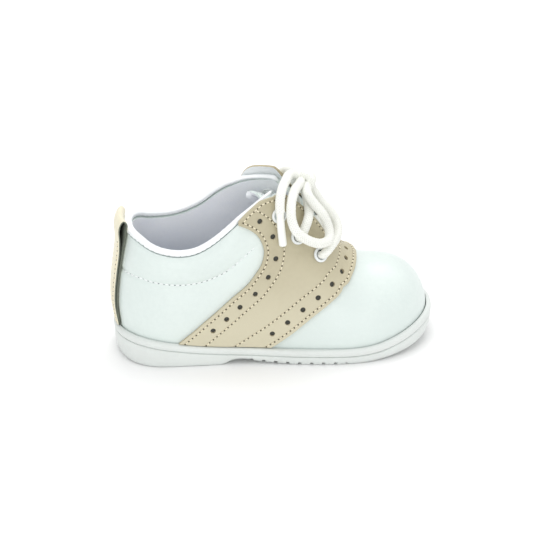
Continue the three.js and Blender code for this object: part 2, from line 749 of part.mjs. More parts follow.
// Collar binding: a rounded tape over the topline, flush under the saddle and proud of the quarters
function binding() {
  const frames = [];
  const end = 0.495;
  const steps = 17;
  for (const side of [-1, 1]) {
    const line = [];
    for (let i = 0; i <= steps; i += 1) {
      const share = shareOf(stationOf(end) * (1 - i / steps));
      const rim = lastPoint(share, topAngle(share, side, bindingHeight), side)[2];
      const height = rim + bindingHeight / 2 + 0.2;
      const frame = surfaceFrame(share, angleAtHeight(share, height), side);
      const flush = clamp((share - saddleBack(0.97) + 0.02) / 0.02, 0, 1);
      const inward = mix(bindingWidth / 2 - 0.5, bindingWidth / 2 + 0.1, flush);
      const origin = frame.origin.clone().addScaledVector(frame.normal, -inward);
      line.push({ origin: origin.toArray(), across: frame.normal.toArray(), up: frame.up.toArray() });
    }
    if (side > 0) line.reverse().shift();
    frames.push(...line);
  }
  const half = [bindingWidth / 2, (bindingHeight - clearance) / 2];
  const section = Array.from({ length: 8 }, (_, i) => {
    const a = ((i + 0.5) / 8) * 2 * Math.PI;
    const power = 0.75;
    return [
      half[0] * Math.sign(Math.cos(a)) * Math.abs(Math.cos(a)) ** power,
      half[1] * Math.sign(Math.sin(a)) * Math.abs(Math.sin(a)) ** power,
    ];
  });
  return sweep(frames, section);
}

// Tongue: a sheet below the flaps of the throat. `drop` is how far it falls back into the collar, as a share of
// the rise from collar to throat, and `sag` how far its sides follow the last down
const TONGUE = [
  { at: 0.462, drop: 0.630, half: 0.36, sag: 0.4 },
  { at: 0.5, drop: 0.357, half: 0.395, sag: 0.55 },
  { at: 0.54, drop: 0.134, half: 0.42, sag: 0.8 },
  { at: 0.58, drop: 0.029, half: 0.43, sag: 1.0 },
  { at: 0.62, drop: 0.004, half: 0.43, sag: 1.0 },
  { at: 0.66, drop: 0, half: 0.41, sag: 1.0 },
  { at: 0.7, drop: 0, half: 0.38, sag: 1.0 },
  { at: 0.74, drop: 0, half: 0.34, sag: 1.0 },
];
function tonguePoint(share, across) {
  const y = tongueWidth * tongueHalf(share) * across;
  const side = y < 0 ? -1 : 1;
  const top = lastPoint(share, Math.PI / 2, side);
  const { origin: edge, normal } = surfaceFrame(share, angleAtWidth(share, side, Math.abs(y)), side);
  const free = clamp((0.52 - share) / 0.058, 0, 1) * Math.max(Math.abs(across) - 0.4, 0) ** 2;
  const under = tongueDepth / Math.max(normal.z, 0.35);
  const z = mix(top[2], edge.z, tongueSag(share)) - under - (throatHeight - collarHeight) * tongueDrop(share) - tongueCurl * 0.6 * free;
  return [top[0] - tongueCurl * 3 * free, y * (1 - 0.25 * free) + top[1], z];
}
const tongueDrop = curve(TONGUE, "drop");
const tongueHalf = curve(TONGUE, "half");
const tongueSag = curve(TONGUE, "sag");
function tongue() {
  const along = 12;
  const across = 6;
  const points = [];
  for (let i = 0; i <= along; i += 1) {
    const share = mix(TONGUE[0].at, TONGUE[TONGUE.length - 1].at, i / along);
    for (let j = 0; j <= across; j += 1) points.push(tonguePoint(share, (2 * j) / across - 1));
  }
  const quads = [];
  for (let i = 0; i < along; i += 1) {
    for (let j = 0; j < across; j += 1) {
      const a = i * (across + 1) + j;
      quads.push({ corners: [a, a + across + 1, a + across + 2, a + 1] });
    }
  }
  const triangles = trianglesOf(quads);
  const normals = normalsOf(points, triangles);
  return outward(shell(points, pushed(points, normals, -tongueThickness), triangles));
}

// Heel tab: one strip folded double, with an open loop above the topline
function heelTab() {
  const bottom = soleTop(0) + clearance;
  const top = toplineHeight(0, -1) + tabLoopRise;
  const span = top - bottom;
  const low = clearance + 0.1;
  const thin = low + 2 * tabStrip + 0.1;
  const wide = low + tabLoopDepth;
  const outer = [
    ...[0, 0.14, 0.28, 0.42, 0.56, 0.66, 0.76].map((part) => [low, bottom + part * span]),
    [low + 0.35, bottom + 0.84 * span],
    [low + 0.75, bottom + 0.9 * span],
    [low + 0.8, bottom + 0.95 * span],
    [mix(low, wide, 0.4), top],
    [mix(low, wide, 0.7), top - 0.1],
    [wide - 0.3, bottom + 0.96 * span],
    [wide, bottom + 0.91 * span],
    [mix(wide, thin, 0.45), bottom + 0.78 * span],
    [mix(wide, thin, 0.85), bottom + 0.64 * span],
    [thin, bottom + 0.5 * span],
    [thin - 0.05, bottom + 0.36 * span],
    [thin - 0.2, bottom + 0.2 * span],
    [thin - 0.7, bottom],
  ];
  const inner = [
    [low + tabStrip + 0.05, bottom + 0.72 * span],
    [low + tabStrip + 0.3, bottom + 0.84 * span],
    [low + tabStrip + 0.75, bottom + 0.93 * span],
    [mix(low, wide, 0.5), top - tabStrip - 0.2],
    [wide - tabStrip - 0.2, bottom + 0.93 * span],
    [wide - tabStrip, bottom + 0.88 * span],
    [mix(wide, thin, 0.45) - tabStrip, bottom + 0.77 * span],
  ];
  const contour = outer.map(([d, z]) => new THREE.Vector2(d, z));
  const hole = inner.map(([d, z]) => new THREE.Vector2(d, z));
  if (THREE.ShapeUtils.isClockWise(contour)) contour.reverse();
  if (!THREE.ShapeUtils.isClockWise(hole)) hole.reverse();
  const caps = THREE.ShapeUtils.triangulateShape(contour, [hole]);
  const flat = [...contour, ...hole];
  const columns = 6;
  const positions = [];
  for (let c = 0; c <= columns; c += 1) {
    const y = tabWidth * (c / columns - 0.5);
    for (const { x: away, y: z } of flat) positions.push([backAt(y, z) - away, y, z]);
  }
  const n = flat.length;
  const faces = [];
  for (const [a, b, c] of caps) {
    faces.push([a, b, c], [columns * n + a, columns * n + c, columns * n + b]);
  }
  for (let c = 0; c < columns; c += 1) {
    for (const [start, length] of [[0, contour.length], [contour.length, hole.length]]) {
      for (let i = 0; i < length; i += 1) {
        const a = c * n + start + i;
        const b = c * n + start + ((i + 1) % length);
        faces.push([a, a + n, b], [b, a + n, b + n]);
      }
    }
  }
  return outward(geometryOf(positions, faces));
}

// The upper's back at a width and height, found by halving
function backAt(y, z) {
  const side = y < 0 ? -1 : 1;
  let low = 0;
  let high = heelCap;
  for (let i = 0; i < 40; i += 1) {
    const share = (low + high) / 2;
    const p = lastPoint(share, angleAtHeight(share, z), side);
    if (Math.abs(p[1]) < Math.abs(y)) low = share;
    else high = share;
  }
  const angle = angleAtHeight(low, z);
  const foot = soleAngle(low);
  const up = (angle - foot) / (topAngle(low, side, bindingHeight) - foot);
  const n = outwardAt(low, angle, side);
  return lastPoint(low, angle, side)[0] - puffAt(low, side, up) / Math.max(Math.abs(n.x), 0.5);
}

// Laces: the free cord's routes, point by point
const LACE_ROUTES = {
  lace_knot: [[8.6, 1.6, 72.6], [10, 2.2, 74.6], [12.6, 2.2, 74.6], [14.8, 1.8, 72.4], [15.4, 1.4, 69.4]],
  lace_end_lateral: [[6.6, -2.2, 74.6], [3.9, -7.6, 74.2], [1.7, -12.6, 72.2], [0.6, -16, 69], [0.4, -17.7, 65.7]],
  lace_loop_lateral: [
    [10.2, -4.6, 71.6], [7.6, -9.4, 71.2], [5.7, -14, 69.3], [4.8, -17.6, 66], [4.9, -20.2, 62.4],
    [6.3, -21.9, 58.9], [9.2, -22, 55.9], [12.8, -21.4, 53.4], [16.6, -20.7, 52.2], [19.7, -18.8, 52.6],
    [20.6, -15.6, 54.5], [19.7, -13.3, 58.2], [17.8, -12.6, 61.9], [15, -11.9, 65.4], [12.5, -9.8, 69],
  ],
  lace_strand_middle: [[9.5, -17.7, 57.2], [11.2, -16, 58.6], [12.6, -12.8, 61], [13, -8.7, 63.2], [12.4, -3.8, 65.3]],
  lace_strand_bottom: [
    [19, -18, 48.2], [21.9, -15.4, 48.8], [24.8, -10.6, 49.9], [26, -6.4, 51.8], [25.3, -4, 55],
    [22.8, -3.2, 58.9], [19.4, -2.6, 62.2], [16.6, -1.6, 65.6],
  ],
  lace_loop_medial: [
    [12.2, 5.8, 70.6], [10.4, 10.4, 69], [9.4, 14.8, 65.4], [9.2, 18.6, 60.6], [10, 21.4, 55.4], [12.8, 22.4, 51.4],
    [16.4, 20.8, 51.4], [18, 17.6, 55], [17.6, 13.8, 59.6], [16.4, 9.8, 64], [14.6, 5.8, 67.6],
  ],
  lace_end_medial: [[9, 4.7, 73.6], [6.2, 10, 71.8], [5, 14.6, 69], [4.4, 18, 64.6]],
};
const AGLET_ROUTES = {
  aglet_lateral: [[0.4, -17.9, 64.9], [0.7, -19.2, 59], [1.3, -20.6, 51.9]],
  aglet_medial: [[4.3, 18.5, 63.8], [4, 20.4, 58], [3.6, 21.6, 51]],
};
const CORDS = new Set([...Object.keys(LACE_ROUTES), ...Object.keys(AGLET_ROUTES)]);

function tube(route, diameter, sides = 8) {
  const path = new THREE.CatmullRomCurve3(route.map((p) => new THREE.Vector3(...p)), false, "centripetal");
  const shape = new THREE.Shape();
  for (let i = 0; i < sides; i += 1) {
    const a = (2 * Math.PI * i) / sides;
    const [x, y] = [(Math.cos(a) * diameter) / 2, (Math.sin(a) * diameter) / 2];
    if (i === 0) shape.moveTo(x, y);
    else shape.lineTo(x, y);
  }
  const steps = Math.max(3, Math.round(path.getLength() / (laceStep * diameter)));
  return new THREE.ExtrudeGeometry(shape, { steps, extrudePath: path, bevelEnabled: false });
}

// The bars that cross under the flaps, resting on the tongue
const barStep = 0.02;
const barSag = 0.15;
const barInset = 2.4;
function bar({ at }) {
  const [behind, here, ahead] = [at - barStep, at, at + barStep].map((share) => tonguePoint(share, 0));
  const run = [ahead[0] - behind[0], ahead[2] - behind[2]];
  const away = (laceDiameter / 2 + clearance) / Math.hypot(...run);
  const x = here[0] - away * run[1];
  const z = here[2] + away * run[0];
  const reach = halfWidth * throatCurve(at) - barInset;
  return tube([[x, -reach, z - barSag], [x, 0, z], [x, reach, z - barSag]], laceDiameter);
}

// The run outside the inner flap, between its two lower eyelets
function medialRun() {
  const [from, to] = ["eyelet_medial_middle", "eyelet_medial_bottom"].map((name) => {
    const { origin, normal } = eyeletPlaces.find((place) => place.name === name);
    return origin.clone().addScaledVector(normal, clearance * 2 + saddleThickness + laceDiameter / 2 + 0.2);
  });
  const gap = (eyeletOuter / 2 + 0.8) / from.distanceTo(to);
  const route = [gap, 0.5, 1 - gap].map((f) => from.clone().lerp(to, f).toArray());
  return tube(route, laceDiameter);
}

const shoe = new THREE.Group();
function add(name, geometry, color, roughness, metalness = 0) {
  const material = new THREE.MeshStandardMaterial({ color, roughness, metalness });
  const mesh = new THREE.Mesh(geometry, material);
  mesh.name = name;
  shoe.add(mesh);
  return mesh;
}

const WHITE_LEATHER = 0xe9efec;
const BEIGE_LEATHER = 0xdccfae;
const LACE_WHITE = 0xf0f0ea;
add("outsole", outsole(), 0xecefee, 0.55);
add("insole", insole(), 0xdfe2e6, 0.9);
add("upper", upperGeometry, WHITE_LEATHER, 0.45);
add("collar_binding", binding(), 0xf4f5f6, 0.85);
add("saddle", saddleGeometry, BEIGE_LEATHER, 0.5);
add("tongue", tongue(), WHITE_LEATHER, 0.5);
add("heel_tab", heelTab(), BEIGE_LEATHER, 0.55);
for (const place of eyeletPlaces) add(place.name, eyelet(place), 0xe4ebee, 0.35, 0.2);
add("lace_bar_middle", bar(EYELETS[1]), LACE_WHITE, 0.9);
add("lace_bar_bottom", bar(EYELETS[2]), LACE_WHITE, 0.9);
add("lace_run_medial", medialRun(), LACE_WHITE, 0.9);
for (const [name, route] of Object.entries(LACE_ROUTES)) add(name, tube(route, laceDiameter), LACE_WHITE, 0.9);
for (const [name, route] of Object.entries(AGLET_ROUTES)) add(name, tube(route, agletDiameter), LACE_WHITE, 0.4);

// The origin stands under the middle of the shoe's box, laces left out
const box = new THREE.Box3();
for (const mesh of shoe.children) {
  if (CORDS.has(mesh.name)) continue;
  mesh.geometry.computeBoundingBox();
  box.union(mesh.geometry.boundingBox);
}
const middle = box.getCenter(new THREE.Vector3());
for (const mesh of shoe.children) mesh.geometry.translate(-middle.x, -middle.y, -box.min.z);

export default shoe;
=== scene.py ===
"""A toddler's saddle shoe for the right foot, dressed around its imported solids.

White leather vamp and quarters, a punched beige saddle over the instep, a padded collar with
a rolled binding, a folded pull tab, a rubber cup sole and a round braided lace tied in a bow.
Sizes are written in millimetres, as a shoemaker writes them, and meshes are made in metres.
+X points to the toe, +Y to the inner (medial) side of the foot, +Z up.
"""

from __future__ import annotations

import logging
from dataclasses import dataclass, field
from enum import Enum
from typing import ClassVar, NamedTuple, Sequence

import bmesh
import bpy
import numpy as np
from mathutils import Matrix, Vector

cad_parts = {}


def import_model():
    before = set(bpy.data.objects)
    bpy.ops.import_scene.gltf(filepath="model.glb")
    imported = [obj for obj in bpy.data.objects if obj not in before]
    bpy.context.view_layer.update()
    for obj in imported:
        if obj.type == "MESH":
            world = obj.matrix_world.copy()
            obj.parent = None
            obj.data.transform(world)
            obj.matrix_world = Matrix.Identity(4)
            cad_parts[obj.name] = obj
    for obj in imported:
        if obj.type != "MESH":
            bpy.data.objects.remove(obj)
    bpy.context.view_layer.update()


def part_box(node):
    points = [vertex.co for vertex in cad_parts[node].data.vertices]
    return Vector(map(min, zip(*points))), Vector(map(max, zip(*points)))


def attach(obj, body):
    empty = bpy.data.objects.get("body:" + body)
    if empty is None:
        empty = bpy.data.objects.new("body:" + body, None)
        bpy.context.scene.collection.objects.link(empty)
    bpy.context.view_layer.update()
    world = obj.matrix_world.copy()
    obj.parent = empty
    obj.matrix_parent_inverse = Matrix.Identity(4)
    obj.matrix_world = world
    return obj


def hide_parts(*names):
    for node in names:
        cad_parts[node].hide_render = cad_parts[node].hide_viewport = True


MM = 0.001
QUARTER_TURN = np.pi / 2
LATERAL, MEDIAL = -1.0, 1.0
LOG = logging.getLogger("saddle_shoe")

HALVINGS = 32

# The collar's padding: where it starts up the side, where it ends along it and over what share
# it fades, and where the pull tab stops holding it flat.
PUFF_FOOT = 0.62
PUFF_END = {LATERAL: 0.41, MEDIAL: 0.47}
PUFF_FADE = 0.08
TAB_HOLD = (0.006, 0.045)

Array = np.ndarray
Color = tuple[float, float, float, float]
Route = tuple[tuple[float, float, float], ...]
Material = bpy.types.Material
Socket = bpy.types.NodeSocket
Piece = bpy.types.Object


# Tables of the last and the patterns


class SoleRow(NamedTuple):
    """Half-widths of the sole as shares of half the ball width."""

    at: float
    lateral: float
    medial: float


class SideRow(NamedTuple):
    """Sole's top edge as a share of its side height, its underside as a share of the toe spring."""

    at: float
    top: float
    lift: float


class LastRow(NamedTuple):
    """Ridge between toe box (0) and cone (1), roundness of the section, swell and flare."""

    at: float
    ridge: float
    side: float
    crown: float
    swell: float
    flare: float


class HeelRow(NamedTuple):
    """How far the back of the heel stands forward, against height as a share of the collar's."""

    at: float
    forward: float


class EdgeRow(NamedTuple):
    """Back and front edges of the saddle as shares along the upper, against height share."""

    at: float
    back: float
    front: float


class ThroatRow(NamedTuple):
    """Half-width of the throat as a share of half the ball width."""

    at: float
    half: float


class TongueRow(NamedTuple):
    """The tongue's drop behind the flaps, its half-width and how far its sides sag."""

    at: float
    drop: float
    half: float
    sag: float


class SeamRow(NamedTuple):
    """Height of the quilted seam under the collar, as a share of the collar's height."""

    at: float
    height: float


def table(kind: type, *rows: tuple[float, ...]) -> tuple:
    """A table's rows, as one kind of named row."""
    return tuple(kind(*row) for row in rows)


SOLE_OUTLINE = table(
    SoleRow,
    (0.0, 0.75, 0.75), (0.12, 0.765, 0.76), (0.25, 0.79, 0.765), (0.4, 0.815, 0.745), (0.55, 0.92, 0.83),
    (0.68, 0.99, 0.935), (0.8, 1.0, 0.985), (0.9, 0.98, 0.985), (1.0, 0.95, 0.95),
)
SOLE_SIDE = table(
    SideRow,
    (0.0, 1.0, 0.55), (0.03, 0.99, 0.17), (0.07, 0.95, 0.03), (0.1, 0.905, 0), (0.175, 0.78, 0),
    (0.25, 0.68, 0), (0.3, 0.63, 0), (0.32, 0.612, 0.06), (0.35, 0.592, 0.42), (0.375, 0.575, 0.52),
    (0.43, 0.55, 0.28), (0.5, 0.525, 0.1), (0.56, 0.513, 0), (0.65, 0.505, 0), (0.74, 0.5, 0),
    (0.8, 0.55, 0.08), (0.87, 0.69, 0.27), (0.94, 0.87, 0.55), (1.0, 1.04, 1.0),
)
LAST = table(
    LastRow,
    (0.0, 1.0, 2.1, 2.2, 0.028, 0.077), (0.12, 1.0, 2.1, 2.15, 0.042, 0.101),
    (0.3, 1.0, 2.1, 2.05, 0.035, 0.105), (0.42, 0.945, 2.03, 1.8, 0.024, 0.07),
    (0.48, 0.855, 2.0, 1.7, 0.021, 0.042), (0.54, 0.7, 2.0, 1.65, 0.021, 0.021),
    (0.6, 0.527, 2.0, 1.65, 0.024, 0.007), (0.63, 0.437, 2.0, 1.68, 0.028, 0.003),
    (0.66, 0.322, 2.0, 1.74, 0.031, 0), (0.69, 0.208, 2.0, 1.84, 0.033, 0),
    (0.72, 0.13, 2.05, 1.95, 0.035, 0), (0.75, 0.09, 2.1, 2.04, 0.037, 0),
    (0.78, 0.054, 2.15, 2.12, 0.038, 0), (0.84, 0.024, 2.25, 2.25, 0.042, 0),
    (0.9, 0.009, 2.35, 2.3, 0.042, 0), (1.0, 0.0, 2.35, 2.25, 0.021, 0),
)
HEEL_CURVE = table(
    HeelRow,
    (0.0, 0.0), (0.2, 0.0), (0.27, -0.12), (0.45, -0.55), (0.67, -0.1), (0.9, 1.05), (1.05, 2.0),
    (1.25, 2.8), (1.8, 4.0),
)
TOPLINE = table(
    SoleRow,
    (0.0, 0.27, 0.27), (0.04, 0.215, 0.21), (0.083, 0.12, 0.13), (0.135, 0.04, 0.09), (0.18, 0.005, 0.1),
    (0.234, 0.038, 0.175), (0.29, 0.18, 0.33), (0.332, 0.336, 0.52), (0.376, 0.52, 0.68),
    (0.41, 0.65, 0.765), (0.44, 0.757, 0.81), (0.5, 0.915, 0.87), (0.55, 1.02, 0.94), (0.64, 1.2, 1.1),
)
SADDLE_EDGE = table(
    EdgeRow,
    (0.0, 0.18, 0.472), (0.1, 0.213, 0.54), (0.274, 0.277, 0.635), (0.396, 0.3423, 0.677),
    (0.491, 0.4126, 0.709), (0.532, 0.4383, 0.721), (0.603, 0.4523, 0.733), (0.708, 0.4446, 0.747),
    (0.859, 0.4142, 0.758), (1.0, 0.3737, 0.764),
)
THROAT = table(
    ThroatRow,
    (0.45, 0.301), (0.51, 0.294), (0.56, 0.245), (0.6, 0.22), (0.64, 0.231), (0.7, 0.266),
)
TONGUE = table(
    TongueRow,
    (0.462, 0.63, 0.36, 0.4), (0.5, 0.357, 0.395, 0.55), (0.54, 0.134, 0.42, 0.8),
    (0.58, 0.029, 0.43, 1.0), (0.62, 0.004, 0.43, 1.0), (0.66, 0.0, 0.41, 1.0), (0.7, 0.0, 0.38, 1.0),
    (0.74, 0.0, 0.34, 1.0),
)
QUARTER_SEAM = table(
    SeamRow,
    (0.0, 0.765), (0.055, 0.763), (0.094, 0.744), (0.14, 0.726), (0.18, 0.715), (0.235, 0.724),
    (0.29, 0.758), (0.33, 0.805), (0.37, 0.876), (0.426, 0.993),
)


@dataclass(frozen=True)
class ShoeSizes:
    """The sizes that every piece of the shoe follows, in millimetres."""

    sole_length: float = 132.0
    sole_width: float = 57.2
    sole_side: float = 13.3
    toe_spring: float = 4.6
    band: float = 3.0
    cup_depth: float = 3.3
    cone: float = 88.0
    toe_box: float = 32.4
    collar: float = 50.7
    throat: float = 74.5
    heel_inset: float = 2.1
    toe_inset: float = 2.3
    side_inset: float = 2.7
    wall: float = 2.0
    collar_padding: float = 1.2
    collar_puff: float = 1.5
    counter_bulge: float = 1.7
    binding_height: float = 2.6
    binding_width: float = 3.4
    leather: float = 1.2
    insole: float = 2.4
    tongue: float = 1.8
    tongue_width: float = 31.0
    tongue_curl: float = 4.0
    eyelet_outer: float = 6.3
    eyelet_hole: float = 3.9
    lace: float = 3.8
    aglet: float = 3.2
    clearance: float = 0.3
    cup_gap: float = 0.4
    heel_cap: float = 0.155
    toe_cap: float = 0.27
    ridge_cap: float = 0.155
    toe_shift: float = 3.0
    throat_back: float = 0.4
    throat_front: float = 0.7
    throat_round: float = 0.045

    @property
    def half_length(self) -> float:
        """Half the sole's length."""
        return self.sole_length / 2

    @property
    def half_width(self) -> float:
        """Half the sole's width across the ball."""
        return self.sole_width / 2

    @property
    def tongue_depth(self) -> float:
        """Depth of the tongue below the outer face of the flaps, clear of the eyelets."""
        return self.wall + 1.95

    @property
    def barrel(self) -> float:
        """Outer radius of an eyelet's barrel."""
        return self.eyelet_hole / 2 + 0.35


class Curve:
    """A smooth curve through a table's rows: cubic pieces whose slopes average their neighbours'."""

    def __init__(self, rows: Sequence[NamedTuple], key: str) -> None:
        """Reads column `key` of the rows against their first column.

        Args:
            rows: the table's rows.
            key: the column to read.
        """
        self.x = np.array([row[0] for row in rows], float)
        self.y = np.array([getattr(row, key) for row in rows], float)
        rise = np.diff(self.y) / np.diff(self.x)
        left, right = self.x[1:-1] - self.x[:-2], self.x[2:] - self.x[1:-1]
        middle = (rise[:-1] * right + rise[1:] * left) / (left + right)
        self.slope = np.concatenate([rise[:1], middle, rise[-1:]])

    def __call__(self, value: Array | float) -> Array:
        """The curve's height at each value, level with its ends outside the table.

        Args:
            value: the value to look up.

        Returns:
            Heights of the curve.
        """
        v = np.clip(value, self.x[0], self.x[-1])
        i = np.clip(np.searchsorted(self.x, v) - 1, 0, len(self.x) - 2)
        h = self.x[i + 1] - self.x[i]
        t = (v - self.x[i]) / h
        start = (1 + 2 * t) * (1 - t) ** 2 * self.y[i] + t * (1 - t) ** 2 * h * self.slope[i]
        end = t * t * (3 - 2 * t) * self.y[i + 1] + t * t * (t - 1) * h * self.slope[i + 1]
        return start + end


def end_cap(share: Array, reach: float, power: float) -> Array:
    """Rounds an end of an outline: 0 at the tip, 1 from `reach` inwards, as a superellipse."""
    rest = np.clip(1 - share / reach, 0, 1)
    return (1 - rest**power) ** (1 / power)


def share_of(station: Array) -> Array:
    """Share along the shoe of a station, with stations crowded towards both ends."""
    return (1 - np.cos(np.pi * station)) / 2


def station_of(share: Array) -> Array:
    """The station at a share along the shoe."""
    return np.arccos(1 - 2 * np.clip(share, 0, 1)) / np.pi


def unit(vectors: Array) -> Array:
    """Vectors brought to length one."""
    return vectors / np.maximum(np.linalg.norm(vectors, axis=-1, keepdims=True), 1e-9)


class Last:
    """The form that the shoe is drawn over, and the lines that its pieces are cut along."""

    def __init__(self, sizes: ShoeSizes) -> None:
        """Takes the sizes and reads the tables.

        Args:
            sizes: the shoe's sizes.
        """
        self.sizes = sizes
        self.outline = {side: Curve(SOLE_OUTLINE, key) for side, key in SIDE_KEYS.items()}
        self.topline = {side: Curve(TOPLINE, key) for side, key in SIDE_KEYS.items()}
        self.top_share = Curve(SOLE_SIDE, "top")
        self.lift_share = Curve(SOLE_SIDE, "lift")
        self.ridge_share = Curve(LAST, "ridge")
        self.side_power = Curve(LAST, "side")
        self.crown_power = Curve(LAST, "crown")
        self.swell = Curve(LAST, "swell")
        self.flare = Curve(LAST, "flare")
        self.heel = Curve(HEEL_CURVE, "forward")
        self.throat = Curve(THROAT, "half")
        self.saddle_back = Curve(SADDLE_EDGE, "back")
        self.saddle_front = Curve(SADDLE_EDGE, "front")

    def lean(self, share: Array) -> Array:
        """How far the toe leans towards the inner side."""
        return self.sizes.toe_shift * np.clip((share - 0.6) / 0.4, 0, 1) ** 2

    def sole_top(self, share: Array) -> Array:
        """Height of the sole's top edge."""
        return self.sizes.sole_side * self.top_share(share)

    def sole_bottom(self, share: Array) -> Array:
        """Height of the sole's underside, without its tread."""
        return self.sizes.toe_spring * np.maximum(self.lift_share(share), 0)

    def sole_floor(self, share: Array) -> Array:
        """Height of the floor inside the sole's cup."""
        return self.sole_top(share) - self.sizes.cup_depth

    def half_width(self, share: Array, side: float, inset: float) -> Array:
        """Half-width of the outline on one side, inset from the sole's edge.

        Args:
            share: share of the way from heel (0) to toe (1).
            side: LATERAL or MEDIAL.
            inset: distance in from the sole's edge.

        Returns:
            Half-widths.
        """
        s = self.sizes
        full = s.half_width * self.outline[side](share) - inset
        return full * end_cap(share, s.heel_cap, 2.25) * end_cap(1 - share, s.toe_cap, 2.3)

    def outline_point(self, share: Array, side: float, inset: float, height: Array) -> Array:
        """A point of the sole's outline at a height, inset from its edge.

        Args:
            share: share of the way from heel (0) to toe (1).
            side: LATERAL or MEDIAL.
            inset: distance in from the sole's edge.
            height: heights above the floor.

        Returns:
            Points.
        """
        s = self.sizes
        x = -s.half_length + inset + (s.sole_length - 2 * inset) * share
        y = side * self.half_width(share, side, inset) + self.lean(share)
        return np.stack(np.broadcast_arrays(x, y, height), -1)

    def feather(self, share: Array) -> Array:
        """Height of the feather edge, where the upper turns under."""
        return self.sole_floor(share) + self.sizes.clearance

    def ridge(self, share: Array) -> Array:
        """Height of the last's ridge.

        Args:
            share: share of the way from heel (0) to toe (1).

        Returns:
            Heights.
        """
        s = self.sizes
        base = self.feather(share)
        top = s.toe_box + (s.cone - s.toe_box) * self.ridge_share(share)
        return base + (top - base) * end_cap(1 - share, s.ridge_cap, 2.3)

    def drift(self, share: Array, height: Array) -> Array:
        """The toe's lean, which fades towards the ridge."""
        fade = np.clip((height - self.feather(share)) / self.sizes.toe_box, 0, 1)
        return self.lean(share) * (1 - 0.6 * fade)

    def point(self, share: Array, angle: Array, side: float) -> Array:
        """A point of the outer surface: superellipse sections that swell low down and flare at
        the collar, from angle 0 at the feather edge to a quarter turn at the ridge.

        Args:
            share: share of the way from heel (0) to toe (1).
            angle: section angle, from 0 at the feather edge.
            side: LATERAL or MEDIAL.

        Returns:
            Points.
        """
        s = self.sizes
        share, angle = np.broadcast_arrays(np.asarray(share, float), np.asarray(angle, float))
        own = self.half_width(share, side, s.side_inset)
        other = self.half_width(share, -side, s.side_inset)
        sine = np.sin(np.clip(angle, 0, QUARTER_TURN))
        width = own + ((own + other) / 2 - own) * sine
        base = self.feather(share)
        up = (self.ridge(share) - base) * sine ** (2 / self.crown_power(share))
        across = np.clip(np.cos(angle), 0, None) ** (2 / self.side_power(share))
        low = self.swell(share) * np.sin(np.pi * np.clip(up / (0.78 * s.toe_box), 0, 1))
        high = self.flare(share) * (up / s.collar) ** 2
        swell = s.half_width * (low + high) * np.clip(3 * width / s.sole_width, 0, 1)
        fade = np.clip(1 - share / 0.35, 0, 1) ** 2
        back = s.counter_bulge * self.heel((base + up) / s.collar) * fade
        run = s.sole_length - s.heel_inset - s.toe_inset
        x = -s.half_length + s.heel_inset + run * share + back
        y = side * (width + swell) * across + self.drift(share, base + up)
        return np.stack([x, y, base + up], -1)

    def normal(self, share: Array, angle: Array, side: float) -> Array:
        """The outward normal, from short steps along the shoe and up the section.

        Args:
            share: share of the way from heel (0) to toe (1).
            angle: section angle, from 0 at the feather edge.
            side: LATERAL or MEDIAL.

        Returns:
            Unit vectors.
        """
        step = 0.004
        share, angle = np.broadcast_arrays(np.asarray(share, float), np.asarray(angle, float))
        station = station_of(share)
        ahead = self.point(share_of(np.minimum(station + step, 1)), angle, side)
        behind = self.point(share_of(np.maximum(station - step, 0)), angle, side)
        above = self.point(share, np.minimum(angle + step, QUARTER_TURN), side)
        below = self.point(share, np.maximum(angle - step, 0), side)
        return unit(-side * np.cross(ahead - behind, above - below))

    def angle_at_height(self, share: Array, height: Array) -> Array:
        """The section angle at a height.

        Args:
            share: share of the way from heel (0) to toe (1).
            height: heights above the floor.

        Returns:
            Section angles.
        """
        base = self.feather(share)
        part = np.clip((height - base) / np.maximum(self.ridge(share) - base, 1e-6), 0, 1)
        return np.arcsin(part ** (self.crown_power(share) / 2))

    def search(self, share: Array, side: float, half: Array) -> Array:
        """The section angle at a distance from the shoe's middle, found by halving.

        Args:
            share: share of the way from heel (0) to toe (1).
            side: LATERAL or MEDIAL.
            half: distance from the middle.

        Returns:
            Section angles.
        """
        low = np.zeros(np.shape(share))
        high = np.full(np.shape(share), QUARTER_TURN)
        for _ in range(HALVINGS):
            angle = (low + high) / 2
            p = self.point(share, angle, side)
            outside = np.abs(p[..., 1] - self.drift(share, p[..., 2])) > half
            low, high = np.where(outside, angle, low), np.where(outside, high, angle)
        return (low + high) / 2

    def topline_height(self, share: Array, side: float) -> Array:
        """Height of the collar's edge."""
        s = self.sizes
        return s.collar + (s.throat - s.collar) * self.topline[side](share)

    def throat_half(self, share: Array) -> Array:
        """Half-width of the throat, which ends in a round.

        Args:
            share: share of the way from heel (0) to toe (1).

        Returns:
            Half-widths.
        """
        s = self.sizes
        q = np.clip((share - (s.throat_front - s.throat_round)) / s.throat_round, 0, 1)
        return s.half_width * self.throat(share) * np.sqrt(1 - q * q)

    def top_angle(self, share: Array, side: float, drop: float = 0.0) -> Array:
        """Where the upper stops: at the collar, then the throat's edge, then the ridge.

        Args:
            share: shares along the shoe.
            side: LATERAL or MEDIAL.
            drop: how far below the topline, to leave room for the binding.

        Returns:
            The section angles, blended where collar and throat meet.
        """
        s = self.sizes
        share = np.asarray(share, float)
        collar = self.angle_at_height(share, self.topline_height(share, side) - drop)
        throat = self.search(share, side, self.throat_half(share))
        blend = 0.05
        f = np.clip(0.5 + 0.5 * (throat - collar) / blend, 0, 1)
        joined = throat + (collar - throat) * f - blend * f * (1 - f)
        joined = np.where(share <= s.throat_back, collar, joined)
        return np.where(share >= s.throat_front, QUARTER_TURN, joined)

    def sole_angle(self, share: Array) -> Array:
        """The section angle just above the sole's top edge."""
        return self.angle_at_height(share, self.sole_top(share) + self.sizes.cup_gap)

